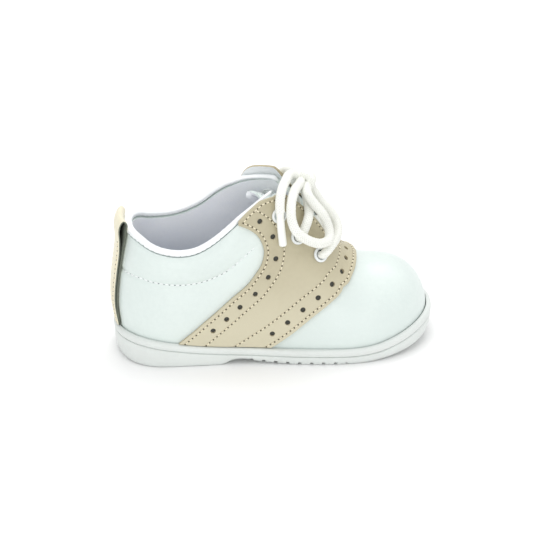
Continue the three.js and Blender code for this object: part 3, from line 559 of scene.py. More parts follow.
    def row_angle(self, share: Array, side: float, up: Array) -> Array:
        """The section angle of a row between the sole's top edge (0) and the upper's top (1).

        Args:
            share: share of the way from heel (0) to toe (1).
            side: LATERAL or MEDIAL.
            up: share of the way up the upper.

        Returns:
            Section angles.
        """
        s = self.sizes
        low = self.sole_angle(share)
        top = self.top_angle(share, side, s.binding_height)
        full = np.where(share > s.throat_back, QUARTER_TURN, 0)
        pull = 0.5 * np.clip((share - s.throat_back) / 0.2, 0, 1)
        smooth = np.maximum(top + (full - top) * pull, top)
        rise = np.clip(up, 0, None)
        row = low + (smooth - low) * rise - rise**2.5 * (smooth - top)
        return np.where(up < 0, low * (1 + up), row)

    def puff(self, share: Array, side: float, up: Array) -> Array:
        """Padding that swells the quarters between the quilted seam and the binding.

        Args:
            share: share of the way from heel (0) to toe (1).
            side: LATERAL or MEDIAL.
            up: share of the way up the upper.

        Returns:
            How far the leather swells out.
        """
        t = np.clip((up - PUFF_FOOT) / (1 - PUFF_FOOT), 0, 1)
        held = np.clip((share - TAB_HOLD[0]) / TAB_HOLD[1], 0, 1)
        fade = np.clip((PUFF_END[side] - share) / PUFF_FADE, 0, 1) * held * held * (3 - 2 * held)
        return self.sizes.collar_puff * np.sin(np.pi * t**1.3) * fade

    def saddle_share(self, across: Array, up: Array) -> Array:
        """Share along the shoe at a place between the saddle's back (0) and front (1) edges."""
        back, front = station_of(self.saddle_back(up)), station_of(self.saddle_front(up))
        return share_of(back + (front - back) * across)

    def back_at(self, y: Array, z: Array) -> Array:
        """The x of the heel's back at a width and a height, found by halving.

        Args:
            y: widths.
            z: heights.

        Returns:
            Values of x.
        """
        s = self.sizes
        y, z = np.broadcast_arrays(np.asarray(y, float), np.asarray(z, float))
        low, high = np.zeros(y.shape), np.full(y.shape, s.heel_cap)
        for _ in range(HALVINGS):
            share = (low + high) / 2
            p = self.point(share, self.angle_at_height(share, z), MEDIAL)
            inside = np.abs(p[..., 1]) < np.abs(y)
            low, high = np.where(inside, share, low), np.where(inside, high, share)
        angle = self.angle_at_height(low, z)
        foot = self.sole_angle(low)
        top = self.top_angle(low, MEDIAL, s.binding_height)
        n = self.normal(low, angle, MEDIAL)
        swell = self.puff(low, MEDIAL, (angle - foot) / (top - foot))
        return self.point(low, angle, MEDIAL)[..., 0] - swell / np.maximum(np.abs(n[..., 0]), 0.5)


SIDE_KEYS = {LATERAL: "lateral", MEDIAL: "medial"}


# Meshes


@dataclass
class Patch:
    """Points in millimetres, faces of four corners, a finish number for each face, and fields."""

    points: Array
    quads: Array
    finish: Array
    fields: dict[str, Array] = field(default_factory=dict)

    @staticmethod
    def of(points: Array, quads: Array, finish: int = 0, **fields: Array) -> Patch:
        """A patch with one finish."""
        flat = {name: np.ravel(values) for name, values in fields.items()}
        return Patch(np.reshape(points, (-1, 3)), quads, np.full(len(quads), finish), flat)

    @staticmethod
    def join(patches: Sequence[Patch]) -> Patch:
        """Several patches as one, with fields that a patch lacks set to zero.

        Args:
            patches: the patches.

        Returns:
            The joined patch.
        """
        starts = np.cumsum([0] + [len(p.points) for p in patches[:-1]])
        names = sorted({name for p in patches for name in p.fields})
        fields = {
            name: np.concatenate([p.fields.get(name, np.zeros(len(p.points))) for p in patches])
            for name in names
        }
        return Patch(
            np.concatenate([p.points for p in patches]),
            np.concatenate([p.quads + start for p, start in zip(patches, starts)]),
            np.concatenate([p.finish for p in patches]),
            fields,
        )

    def welded(self, reach: float = 1e-3) -> Patch:
        """The patch with points that lie together made one.

        Args:
            reach: how far, in millimetres.

        Returns:
            The welded patch.
        """
        keys = np.round(self.points / reach).astype(np.int64)
        _, first, inverse = np.unique(keys, axis=0, return_index=True, return_inverse=True)
        fields = {name: values[first] for name, values in self.fields.items()}
        quads = inverse.reshape(-1)[self.quads]
        return Patch(self.points[first], quads, self.finish, fields)


def grid_quads(rows: int, columns: int, closed: bool = False) -> Array:
    """Faces of a grid of points stored row by row; a closed grid joins its last column to its first.

    Args:
        rows: how many rows, or which ones.
        columns: how many columns.
        closed: whether the last column joins the first.

    Returns:
        Corner numbers, four a face.
    """
    r, c = np.meshgrid(np.arange(rows - 1), np.arange(columns - (not closed)), indexing="ij")
    right = (c + 1) % columns
    corners = [r * columns + c, r * columns + right, (r + 1) * columns + right, (r + 1) * columns + c]
    return np.stack(corners, -1).reshape(-1, 4)


def vertex_normals(points: Array, quads: Array) -> Array:
    """Normals at the points, as the sum of their faces' diagonals' cross products.

    Args:
        points: the points.
        quads: the faces.

    Returns:
        Unit vectors.
    """
    p = points[quads]
    cross = np.cross(p[:, 2] - p[:, 0], p[:, 3] - p[:, 1])
    total = np.zeros_like(points)
    np.add.at(total, quads.reshape(-1), np.repeat(cross, 4, axis=0))
    return unit(total)


def wall(outer: Array, inner: Array, quads: Array, finishes: tuple[int, int, int]) -> Patch:
    """A closed wall between two copies of a sheet.

    Args:
        outer: points of the outer face.
        inner: points of the inner face, in the same order.
        quads: the sheet's faces.
        finishes: finish numbers of the outer face, the inner face and the rim.

    Returns:
        The wall: both faces, and a strip of rim at each edge that only one face uses.
    """
    count = len(outer)
    a = quads.reshape(-1)
    b = np.roll(quads, -1, axis=1).reshape(-1)
    keep = a != b
    a, b = a[keep], b[keep]
    low, high = np.minimum(a, b), np.maximum(a, b)
    _, first, uses = np.unique(low * count + high, return_index=True, return_counts=True)
    lone = first[uses == 1]
    rim = np.stack([b[lone], a[lone], a[lone] + count, b[lone] + count], -1)
    numbers = [np.full(len(quads), finishes[0]), np.full(len(quads), finishes[1])]
    return Patch(
        np.concatenate([outer, inner]),
        np.concatenate([quads, quads[:, ::-1] + count, rim]),
        np.concatenate([*numbers, np.full(len(rim), finishes[2])]),
    )


def off_axes(points: Array, places: Array, axes: Array, reach: float = 6.0) -> tuple[Array, Array]:
    """Steps from each axis square out to each point, and their lengths, huge past `reach` along it.

    Args:
        points: the points.
        places: a point for each.
        axes: a direction for each.
        reach: how far, in millimetres.

    Returns:
        The steps and their lengths.
    """
    away = points[:, None] - places[None]
    along = np.sum(away * axes, -1)
    flat = away - along[..., None] * axes
    return flat, np.where(np.abs(along) < reach, np.linalg.norm(flat, axis=-1), 1e6)


def punch(points: Array, quads: Array, places: Array, axes: Array, radius: float) -> tuple[Array, Array]:
    """Takes out the faces round each axis and pulls the edge of the cut onto a circle.

    Args:
        points: the sheet's points.
        quads: its faces.
        places: a point of each hole's axis.
        axes: each hole's direction.
        radius: radius of the holes.

    Returns:
        The moved points and the faces that stay.
    """
    cut = off_axes(points[quads].mean(1), places, axes)[1].min(1) < radius
    rim = np.intersect1d(quads[cut], quads[~cut])
    flat, far = off_axes(points[rim], places, axes)
    nearest = far.argmin(1)
    pick = np.arange(len(rim))
    points = points.copy()
    points[rim] += unit(flat[pick, nearest]) * (radius - far[pick, nearest])[:, None]
    return points, quads[~cut]


def distance_to(points: Array, line: Array) -> Array:
    """Distance from each point to the nearest of a line's points.

    Args:
        points: the points.
        line: points of the line.

    Returns:
        Distances, in the points' shape.
    """
    flat = points.reshape(-1, 3)
    chunks = [np.linalg.norm(part[:, None] - line[None], axis=-1).min(1) for part in np.array_split(flat, 24)]
    return np.concatenate(chunks).reshape(points.shape[:-1])


def lengthened(line: Array, reach: float = 14.0) -> Array:
    """A line carried straight on past both its ends.

    Args:
        line: points of a line.
        reach: how far, in millimetres.

    Returns:
        The longer line.
    """
    steps = np.linspace(0, reach, 40)[1:, None]
    before = line[0] + steps[::-1] * unit(line[0] - line[2])
    after = line[-1] + steps * unit(line[-1] - line[-3])
    return np.concatenate([before, line, after])


def run_length(line: Array) -> Array:
    """Length of a line from its start to each of its points."""
    steps = np.linalg.norm(np.diff(line, axis=0), axis=1)
    return np.concatenate([[0.0], np.cumsum(steps)])


def read_along(values: Array, run: Array, places: Array) -> Array:
    """Rows of values at distances along a line whose own points lie at `run`."""
    return np.stack([np.interp(places, run, column) for column in values.T], -1)


def smooth_route(route: Sequence[Sequence[float]], step: float) -> Array:
    """A smooth curve through a route's points: centripetal Catmull-Rom pieces, evenly stepped.

    Args:
        route: points to pass.
        step: distance between points.

    Returns:
        Points of the curve.
    """
    p = np.asarray(route, float)
    p = np.concatenate([[2 * p[0] - p[1]], p, [2 * p[-1] - p[-2]]])
    knots = np.concatenate([[0.0], np.cumsum(np.linalg.norm(np.diff(p, axis=0), axis=1) ** 0.5)])
    pieces = []
    for i in range(1, len(p) - 2):
        t0, t1, t2, t3 = knots[i - 1 : i + 3]
        t = np.linspace(t1, t2, 24, endpoint=False)[:, None]
        a1 = ((t1 - t) * p[i - 1] + (t - t0) * p[i]) / (t1 - t0)
        a2 = ((t2 - t) * p[i] + (t - t1) * p[i + 1]) / (t2 - t1)
        a3 = ((t3 - t) * p[i + 1] + (t - t2) * p[i + 2]) / (t3 - t2)
        b1 = ((t2 - t) * a1 + (t - t0) * a2) / (t2 - t0)
        b2 = ((t3 - t) * a2 + (t - t1) * a3) / (t3 - t1)
        pieces.append(((t2 - t) * b1 + (t - t1) * b2) / (t2 - t1))
    line = np.concatenate([*pieces, p[-2:-1]])
    run = run_length(line)
    return read_along(line, run, np.linspace(0, run[-1], max(4, int(round(run[-1] / step)) + 1)))


def turning_frames(line: Array) -> tuple[Array, Array]:
    """Sides and ups carried along a line with as little turning as can be, from an upright start.

    Args:
        line: points of a line.

    Returns:
        Sides and ups.
    """
    tangent = unit(np.gradient(line, axis=0))
    side = np.zeros_like(line)
    lean = np.array([0.0, 0.0, 1.0])
    for i, t in enumerate(tangent):
        lean = lean - t * float(lean @ t)
        lean = lean / max(float(np.linalg.norm(lean)), 1e-9)
        side[i] = lean
    return side, np.cross(tangent, side)


def tube(line: Array, radii: Array) -> Patch:
    """A tube round a line, drawn in to a point at both ends.

    Args:
        line: centre points.
        radii: a radius for each point and each direction round it.

    Returns:
        Rings of points: centre + radius * (cos a * side + sin a * up).
    """
    side, up = turning_frames(line)
    count = radii.shape[1]
    a = np.linspace(0, 2 * np.pi, count, endpoint=False)
    ring = np.cos(a)[None, :, None] * side[:, None] + np.sin(a)[None, :, None] * up[:, None]
    points = line[:, None] + radii[..., None] * ring
    first, final = (np.repeat(line[i, None, None], count, axis=1) for i in (0, -1))
    points = np.concatenate([first, points, final])
    return Patch.of(points, grid_quads(len(points), count, closed=True))


@dataclass(frozen=True)
class Bench:
    """Where patches become pieces: it carries them from the last's middle to the frame's origin."""

    shift: Array

    def metres(self, points: Array) -> Array:
        """Points of the last's own millimetres in the frame's metres."""
        return (np.asarray(points, float) + self.shift) * MM

    def piece(
        self,
        name: str,
        patch: Patch,
        finishes: Sequence[Material],
        slot: str,
        stands_for: Sequence[str] = (),
        crease: float = 40.0,
    ) -> Piece:
        """Makes a patch a piece of the shoe.

        Args:
            name: the piece's name.
            patch: its mesh.
            finishes: its materials, in the order of the patch's finish numbers.
            slot: the name of a material slot; not used.
            stands_for: the solids that it replaces.
            crease: angle in degrees past which an edge shades sharp.

        Returns:
            The object, riding on the shoe's one body.
        """
        patch = patch.welded()
        following = np.roll(patch.quads, -1, axis=1)
        same = patch.quads == following
        plain = ~same.any(1)
        folded = same.sum(1) == 1
        corner = np.argmax(same[folded], axis=1)
        order = (corner[:, None] + np.array([1, 2, 3])) % 4
        triangles = np.take_along_axis(patch.quads[folded], order, axis=1)
        mesh = bpy.data.meshes.new(name)
        faces = patch.quads[plain].tolist() + triangles.tolist()
        mesh.from_pydata(self.metres(patch.points).tolist(), [], faces)
        numbers = np.concatenate([patch.finish[plain], patch.finish[folded]])
        mesh.polygons.foreach_set("material_index", numbers.astype(np.int32))
        for key, values in patch.fields.items():
            attribute = mesh.attributes.new(key, "FLOAT", "POINT")
            attribute.data.foreach_set("value", values.astype(np.float32))
        work = bmesh.new()
        work.from_mesh(mesh)
        bmesh.ops.recalc_face_normals(work, faces=work.faces)
        work.to_mesh(mesh)
        work.free()
        mesh.polygons.foreach_set("use_smooth", np.ones(len(mesh.polygons), bool))
        mesh.set_sharp_from_angle(angle=np.radians(crease))
        for material in finishes:
            mesh.materials.append(material)
        piece = bpy.data.objects.new(name, mesh)
        bpy.context.scene.collection.objects.link(piece)
        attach(piece, "root")
        if stands_for:
            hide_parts(*stands_for)
        LOG.info("%s: %d faces", name, len(mesh.polygons))
        return piece


# Finishes


class Nodes:
    """A node tree being wired: makes nodes with their values and links in one call each."""

    def __init__(self, tree: bpy.types.NodeTree) -> None:
        """Takes the tree to fill."""
        self.tree = tree

    def add(
        self, kind: str, inputs: dict[str | int, object] | None = None, **settings: object
    ) -> bpy.types.Node:
        """Adds a node.

        Args:
            kind: the node's type without its ShaderNode prefix.
            inputs: sockets by name or number, each given a value or another node's output.
            **settings: properties of the node.

        Returns:
            The node.
        """
        node = self.tree.nodes.new("ShaderNode" + kind)
        for key, value in settings.items():
            setattr(node, key, value)
        for key, value in (inputs or {}).items():
            if isinstance(value, Socket):
                self.tree.links.new(value, node.inputs[key])
            else:
                node.inputs[key].default_value = value
        return node

    def maths(self, operation: str, first: object, second: object = 0.0, third: object = 0.0) -> Socket:
        """The output of a Math node on up to three values."""
        return self.add("Math", {0: first, 1: second, 2: third}, operation=operation).outputs[0]

    def blend(self, factor: object, first: object, second: object) -> Socket:
        """The output of a colour mix."""
        node = self.add("Mix", {0: factor, 6: first, 7: second}, data_type="RGBA")
        return node.outputs[2]

    def ramp(
        self, value: object, low: float, high: float, first: float = 0.0, last: float = 1.0
    ) -> Socket:
        """A value carried smoothly from one range to another."""
        inputs = {0: value, 1: low, 2: high, 3: first, 4: last}
        return self.add("MapRange", inputs, interpolation_type="SMOOTHSTEP").outputs[0]


def rgb(red: int, green: int, blue: int) -> Color:
    """A colour as it shows on a screen, 0 to 255, made linear.

    Args:
        red: red, 0 to 255.
        green: green, 0 to 255.
        blue: blue, 0 to 255.

    Returns:
        Linear red, green, blue and alpha.
    """
    values = np.array([red, green, blue]) / 255
    linear = np.where(values <= 0.04045, values / 12.92, ((values + 0.055) / 1.055) ** 2.4)
    return (*map(float, linear), 1.0)


def new_group(
    name: str, inputs: dict[str, tuple[str, object]], outputs: dict[str, str]
) -> tuple[bpy.types.NodeTree, Nodes]:
    """A node group with named sockets, and the wiring to fill it.

    Args:
        name: its name.
        inputs: input sockets: kind and value.
        outputs: output sockets: kind.

    Returns:
        The tree and its wiring.
    """
    tree = bpy.data.node_groups.new(name, "ShaderNodeTree")
    for key, (kind, value) in inputs.items():
        socket = tree.interface.new_socket(key, in_out="INPUT", socket_type="NodeSocket" + kind)
        if value is not None:
            socket.default_value = value
    for key, kind in outputs.items():
        tree.interface.new_socket(key, in_out="OUTPUT", socket_type="NodeSocket" + kind)
    return tree, Nodes(tree)


class Effects:
    """Surface effects that several finishes share, each built once as a node group."""

    def __init__(self) -> None:
        """Builds the groups."""
        self.grain = self._grain()
        self.tone = self._tone()
        self.weave = self._weave()

    def _grain(self) -> bpy.types.NodeTree:
        """Leather grain: cells with sunk borders over a slow swell, as height and as a mask.

        Returns:
            The group.
        """
        tree, nodes = new_group(
            "leather_grain",
            {"Position": ("Vector", None), "Scale": ("Float", 900.0)},
            {"Height": "Float", "Creases": "Float"},
        )
        source, sink = tree.nodes.new("NodeGroupInput"), tree.nodes.new("NodeGroupOutput")
        wander = nodes.add("TexNoise", {"Vector": source.outputs[0], "Scale": 160.0, "Detail": 3.0})
        pushed = nodes.add("VectorMath", {0: wander.outputs["Color"], 1: (0.0016,) * 3}, operation="MULTIPLY")
        moved = nodes.add("VectorMath", {0: source.outputs[0], 1: pushed.outputs[0]}, operation="ADD")
        cells = nodes.add(
            "TexVoronoi", {"Vector": moved.outputs[0], "Scale": source.outputs[1]}, feature="DISTANCE_TO_EDGE"
        )
        creases = nodes.ramp(cells.outputs["Distance"], 0.0, 0.22, 1.0, 0.0)
        swell = nodes.add("TexNoise", {"Vector": source.outputs[0], "Scale": 420.0, "Detail": 4.0})
        height = nodes.maths("MULTIPLY_ADD", creases, -0.7, swell.outputs["Fac"])
        tree.links.new(height, sink.inputs[0])
        tree.links.new(creases, sink.inputs[1])
        return tree

    def _tone(self) -> bpy.types.NodeTree:
        """Slow changes of tone: two noises that carry a colour towards a second one.

        Returns:
            The group.
        """
        tree, nodes = new_group(
            "tone_drift",
            {
                "Position": ("Vector", None),
                "Color": ("Color", (0.8, 0.8, 0.8, 1.0)),
                "Shade": ("Color", (0.6, 0.6, 0.6, 1.0)),
                "Amount": ("Float", 0.3),
                "Scale": ("Float", 40.0),
            },
            {"Color": "Color", "Mask": "Float"},
        )
        source, sink = tree.nodes.new("NodeGroupInput"), tree.nodes.new("NodeGroupOutput")
        slow = nodes.add("TexNoise", {"Vector": source.outputs[0], "Scale": source.outputs[4], "Detail": 4.0})
        fine = nodes.add("TexNoise", {"Vector": source.outputs[0], "Scale": 600.0, "Detail": 2.0})
        both = nodes.maths("MULTIPLY_ADD", fine.outputs["Fac"], 0.35, slow.outputs["Fac"])
        mask = nodes.ramp(both, 0.5, 0.85)
        factor = nodes.maths("MULTIPLY", mask, source.outputs[3])
        tree.links.new(nodes.blend(factor, source.outputs[1], source.outputs[2]), sink.inputs[0])
        tree.links.new(mask, sink.inputs[1])
        return tree

    def _weave(self) -> bpy.types.NodeTree:
        """Plain cloth: two families of threads that pass over and under, as height.

        Returns:
            The group.
        """
        tree, nodes = new_group(
            "plain_weave", {"Position": ("Vector", None), "Scale": ("Float", 1.0)}, {"Height": "Float"}
        )
        source, sink = tree.nodes.new("NodeGroupInput"), tree.nodes.new("NodeGroupOutput")
        place = nodes.add("VectorMath", {0: source.outputs[0], 3: source.outputs[1]}, operation="SCALE")
        axes = nodes.add("SeparateXYZ", {0: place.outputs[0]})
        flat = nodes.maths("ADD", axes.outputs[0], axes.outputs[2])
        warp = nodes.maths("SINE", nodes.maths("MULTIPLY", flat, 5200.0))
        weft = nodes.maths("SINE", nodes.maths("MULTIPLY", axes.outputs[1], 5200.0))
        fuzz = nodes.add("TexNoise", {"Vector": place.outputs[0], "Scale": 2600.0, "Detail": 2.0})
        height = nodes.maths("MULTIPLY_ADD", nodes.maths("MULTIPLY", warp, weft), 0.5, fuzz.outputs["Fac"])
        tree.links.new(height, sink.inputs[0])
        return tree


@dataclass(frozen=True)
class Finish:
    """What every finish starts from: a name, colours, gloss, relief and a painted shading towards the bottom.
    """

    name: str
    color: Color
    shade: Color
    roughness: float = 0.5
    coat: float = 0.0
    drift: float = 0.3
    drift_scale: float = 40.0
    relief: float = 0.3
    # low: a colour painted in towards the bottom of the object over a span of heights in metres; it is painted
    # shade on the lining and painted light on the saddle.
    low: Color | None = None
    painted_shading_span: tuple[float, float] = (0.012, 0.05)

    def start(self) -> tuple[Material, Nodes, bpy.types.Node, Socket]:
        """The material, its wiring, its Principled shader and the place on the object.

        Returns:
            Material, wiring, shader and place.
        """
        material = bpy.data.materials.new(self.name)
        material.use_nodes = True
        material.diffuse_color = self.color
        nodes = Nodes(material.node_tree)
        shader = material.node_tree.nodes["Principled BSDF"]
        shader.inputs["Roughness"].default_value = self.roughness
        shader.inputs["Coat Weight"].default_value = self.coat
        shader.inputs["Coat Roughness"].default_value = 0.25
        place = nodes.add("TexCoord").outputs["Object"]
        return material, nodes, shader, place

    def toned(self, nodes: Nodes, effects: Effects, place: Socket) -> Socket:
        """The finish's colour with its slow drift of tone, and painted shading towards the bottom of the
        object where `low` is set.

        Args:
            nodes: the wiring.
            effects: the shared node groups.
            place: position on the object.

        Returns:
            The colour's socket.
        """
        group = nodes.add("Group", node_tree=effects.tone)
        nodes.tree.links.new(place, group.inputs["Position"])
        group.inputs["Color"].default_value = self.color
        group.inputs["Shade"].default_value = self.shade
        group.inputs["Amount"].default_value = self.drift
        group.inputs["Scale"].default_value = self.drift_scale
        if self.low is None:
            return group.outputs["Color"]
        # Painted shading: towards the bottom the colour is carried to `low`.
        height = nodes.add("SeparateXYZ", {"Vector": place}).outputs["Z"]
        return nodes.blend(nodes.ramp(height, *self.painted_shading_span, 1.0, 0.0), group.outputs["Color"], self.low)

    def bump(self, nodes: Nodes, shader: bpy.types.Node, height: Socket, depth: float) -> None:
        """Feeds a height to the shader as relief of a depth in metres."""
        node = nodes.add("Bump", {"Height": height, "Strength": self.relief, "Distance": depth})
        nodes.tree.links.new(node.outputs[0], shader.inputs["Normal"])


@dataclass(frozen=True)
class LeatherFinish(Finish):
    """Smooth corrected-grain leather with fine pores and a light coat."""

    grain_scale: float = 900.0
    rows: tuple[tuple[str, float], ...] = ()

    def make(self, effects: Effects) -> Material:
        """The material; `rows` name an edge and how far from it, in millimetres, a seam is sunk.

        Args:
            effects: the shared node groups.

        Returns:
            The material.
        """
        material, nodes, shader, place = self.start()
        color = self.toned(nodes, effects, place)
        grain = nodes.add("Group", node_tree=effects.grain)
        nodes.tree.links.new(place, grain.inputs["Position"])
        grain.inputs["Scale"].default_value = self.grain_scale
        height = nodes.maths("MULTIPLY", grain.outputs["Height"], 0.35)
        for edge, row in self.rows:
            distance = nodes.add("Attribute", attribute_name=edge).outputs["Fac"]
            off = nodes.maths("ABSOLUTE", nodes.maths("SUBTRACT", distance, row))
            sunk = nodes.ramp(off, 0.0, 0.7, 1.0, 0.0)
            height = nodes.maths("MULTIPLY_ADD", sunk, -1.6, height)
        nodes.tree.links.new(color, shader.inputs["Base Color"])
        rough = nodes.ramp(grain.outputs["Creases"], 0.0, 1.0, self.roughness, self.roughness + 0.1)
        nodes.tree.links.new(rough, shader.inputs["Roughness"])
        self.bump(nodes, shader, height, 0.0001)
        return material


@dataclass(frozen=True)
class ClothFinish(Finish):
    """Woven or brushed cloth with a soft sheen."""

    thread_scale: float = 1.0
    sheen: float = 0.3

    def make(self, effects: Effects) -> Material:
        """The material.

        Args:
            effects: the shared node groups.

        Returns:
            The material.
        """
        material, nodes, shader, place = self.start()
        color = self.toned(nodes, effects, place)
        weave = nodes.add("Group", node_tree=effects.weave)
        nodes.tree.links.new(place, weave.inputs["Position"])
        weave.inputs["Scale"].default_value = self.thread_scale
        nodes.tree.links.new(color, shader.inputs["Base Color"])
        shader.inputs["Sheen Weight"].default_value = self.sheen
        self.bump(nodes, shader, weave.outputs[0], 0.00012)
        return material


@dataclass(frozen=True)
class MouldedFinish(Finish):
    """Moulded rubber, enamel or plastic: a fine even texture from the mould."""

    texture: float = 1800.0

    def make(self, effects: Effects) -> Material:
        """The material.

        Args:
            effects: the shared node groups.

        Returns:
            The material.
        """
        material, nodes, shader, place = self.start()
        color = self.toned(nodes, effects, place)
        fine = nodes.add("TexNoise", {"Vector": place, "Scale": self.texture, "Detail": 3.0})
        nodes.tree.links.new(color, shader.inputs["Base Color"])
        self.bump(nodes, shader, fine.outputs["Fac"], 0.00005)
        return material


@dataclass(frozen=True)
class BraidFinish(Finish):
    """Cotton braid: threads that slant each way, with painted shade darkening the valleys between plaits."""

    def make(self, effects: Effects) -> Material:
        """The material, which reads the braid's relief from the mesh to paint shade into its valleys.

        Args:
            effects: the shared node groups.

        Returns:
            The material.
        """
        material, nodes, shader, place = self.start()
        color = self.toned(nodes, effects, place)
        relief = nodes.add("Attribute", attribute_name="relief").outputs["Fac"]
        # Painted shade: the colour is carried towards the shade colour where the braid's relief is low.
        valley_shade = nodes.ramp(relief, 0.15, 0.75, 0.75, 0.0)
        fibre = nodes.add("TexNoise", {"Vector": place, "Scale": 3200.0, "Detail": 3.0})
        nodes.tree.links.new(nodes.blend(valley_shade, color, self.shade), shader.inputs["Base Color"])
        shader.inputs["Sheen Weight"].default_value = 0.25
        self.bump(nodes, shader, fibre.outputs["Fac"], 0.0001)
        return material


class Palette:
    """The shoe's finishes, made once."""

    white: Material
    beige: Material
    tab: Material
    binding: Material
    rubber: Material
    enamel: Material
    tip: Material
    floor: Material
    lining: Material
    sock: Material
    tab_edge: Material
    cut_edge: Material
    thread: Material
    white_thread: Material
    dark: Material
    needle: Material
    grey_needle: Material
    braid: Material

    def __init__(self) -> None:
        """Makes every material."""
        effects = Effects()
        white = rgb(224, 234, 230), rgb(208, 219, 216)
        beige = rgb(189, 181, 153), rgb(173, 164, 136)
        sunk = (("edge", 1.6), ("edge", 8.0), ("front_edge", 1.6), ("front_edge", 9.0))
        leather = {
            "white": LeatherFinish("white_leather", *white, 0.34, 0.25, 0.35, 30.0, 0.35),
            # The beige's low colour is painted light: the saddle's lower part is painted lighter than its
            # upper part.
            "beige": LeatherFinish(
                "beige_leather", *beige, 0.42, 0.12, 0.45, 45.0, 0.45, rows=sunk, low=rgb(209, 202, 176)
            ),
            "tab": LeatherFinish("tab_leather", rgb(240, 234, 210), rgb(226, 219, 192), 0.45, 0.1, 0.4),
            "binding": LeatherFinish(
                "binding_leather", rgb(247, 250, 251), rgb(232, 236, 239), 0.5, 0.05, 0.3, grain_scale=1300.0
            ),
        }
        moulded = {
            "rubber": MouldedFinish("white_rubber", rgb(224, 229, 226), rgb(212, 216, 213), 0.46, 0.05, 0.35),
            "enamel": MouldedFinish("eyelet_enamel", rgb(236, 240, 240), rgb(214, 220, 222), 0.22, 0.4, 0.2),
            "tip": MouldedFinish("lace_tip", rgb(250, 251, 246), rgb(222, 222, 214), 0.3, 0.3, 0.2),
            "floor": MouldedFinish("pale_floor", rgb(250, 250, 250), rgb(248, 248, 248), 0.9),
        }
        # The lining's low colour is painted shade: the lining darkens deep inside the shoe.
        lining, lining_painted_shade = (rgb(250, 252, 255), rgb(236, 240, 252)), rgb(178, 185, 196)
        grey = rgb(112, 118, 122), rgb(86, 92, 96)
        cloth = {
            "lining": ClothFinish("collar_lining", *lining, 0.9, low=lining_painted_shade),
            "sock": ClothFinish("sock_lining", rgb(206, 212, 222), rgb(186, 192, 202), 0.9),
            "tab_edge": ClothFinish("tab_cut_edge", rgb(112, 118, 106), rgb(78, 84, 74), 0.85, sheen=0.0),
            "cut_edge": ClothFinish("cut_leather_edge", rgb(186, 174, 142), rgb(150, 138, 110), 0.85),
            "thread": ClothFinish("cream_thread", rgb(238, 230, 204), rgb(214, 204, 174), 0.7),
            "white_thread": ClothFinish("white_thread", rgb(248, 250, 250), rgb(226, 230, 232), 0.7),
            # Painted shade for the saddle's punched holes.
            "dark": ClothFinish("painted_punch_shade", rgb(86, 88, 84), rgb(66, 68, 66), 0.9, sheen=0.0),
            # Painted shade of the needle holes beside each stitch, dark on the saddle and grey on the white
            # leather.
            "needle": ClothFinish("needle_shade_dot", rgb(92, 84, 66), rgb(66, 60, 48), 0.9, sheen=0.0),
            "grey_needle": ClothFinish("grey_needle_shade_dot", *grey, 0.9, sheen=0.0),
        }
        braid = {"braid": BraidFinish("lace_braid", rgb(251, 252, 246), rgb(206, 207, 198), 0.85)}
        for key, finish in {**leather, **moulded, **cloth, **braid}.items():
            setattr(self, key, finish.make(effects))


# Stitches and holes


@dataclass(frozen=True)
class Seam:
    """A row of stitches: their pitch, length, thickness and the needle holes between them, drawn as discs of
    painted shade.
    """

    pitch: float = 2.0
    length: float = 1.45
    thickness: float = 0.5
    sink: float = 0.02
    hole: float = 0.7

    def sew(self, line: Array, normals: Array, thread: int, needle: int) -> Patch:
        """Stitches along a line on a surface.

        Args:
            line: points on the surface.
            normals: the surface's normals there.
            thread: finish number of the thread.
            needle: finish number of the painted shade in the needle holes.

        Returns:
            One bent thread per stitch, whose middle arches by 1 - t^2 above its ends, and a flat
            disc of painted shade for each needle hole.
        """
        run = run_length(line)
        total = run[-1]
        count = max(2, int(total / self.pitch))
        middles = (np.arange(count) + 0.5) * total / count
        both = np.concatenate([line, normals], axis=1)
        here, ahead, behind = (read_along(both, run, middles + step) for step in (0.0, 0.3, -0.3))
        up = unit(here[:, 3:])
        forward = ahead[:, :3] - behind[:, :3]
        forward = unit(forward - np.sum(forward * up, -1, keepdims=True) * up)
        across = np.cross(up, forward)
        t = np.array([-1.0, -0.82, -0.3, 0.3, 0.82, 1.0])
        swell = np.array([0.0, 0.75, 1.0, 1.0, 0.75, 0.0])
        a = np.linspace(0, 2 * np.pi, 6, endpoint=False)
        rise = self.thickness * (0.32 * (1 - t**2) - 0.05)
        ring_side = 0.5 * self.thickness * swell[:, None] * np.cos(a)
        ring_up = rise[:, None] + 0.5 * self.thickness * swell[:, None] * np.sin(a) - self.sink
        offsets = (0.5 * self.length * t)[None, :, None, None] * forward[:, None, None]
        points = here[:, None, None, :3] + offsets
        points = points + ring_side[None, ..., None] * across[:, None, None]
        points = points + ring_up[None, ..., None] * up[:, None, None]
        template = grid_quads(len(t), len(a), closed=True)
        quads = (template[None] + (np.arange(count) * len(t) * len(a))[:, None, None]).reshape(-1, 4)
        threads = Patch.of(points, quads, thread)
        # Painted shade: a dark disc at each needle hole.
        ends = np.concatenate([[0.0], middles + 0.5 * total / count])
        spots = read_along(both, run, np.clip(ends, 0, total))
        return Patch.join([threads, dots(spots[:, :3], unit(spots[:, 3:]), self.hole / 2, 0.02, needle)])


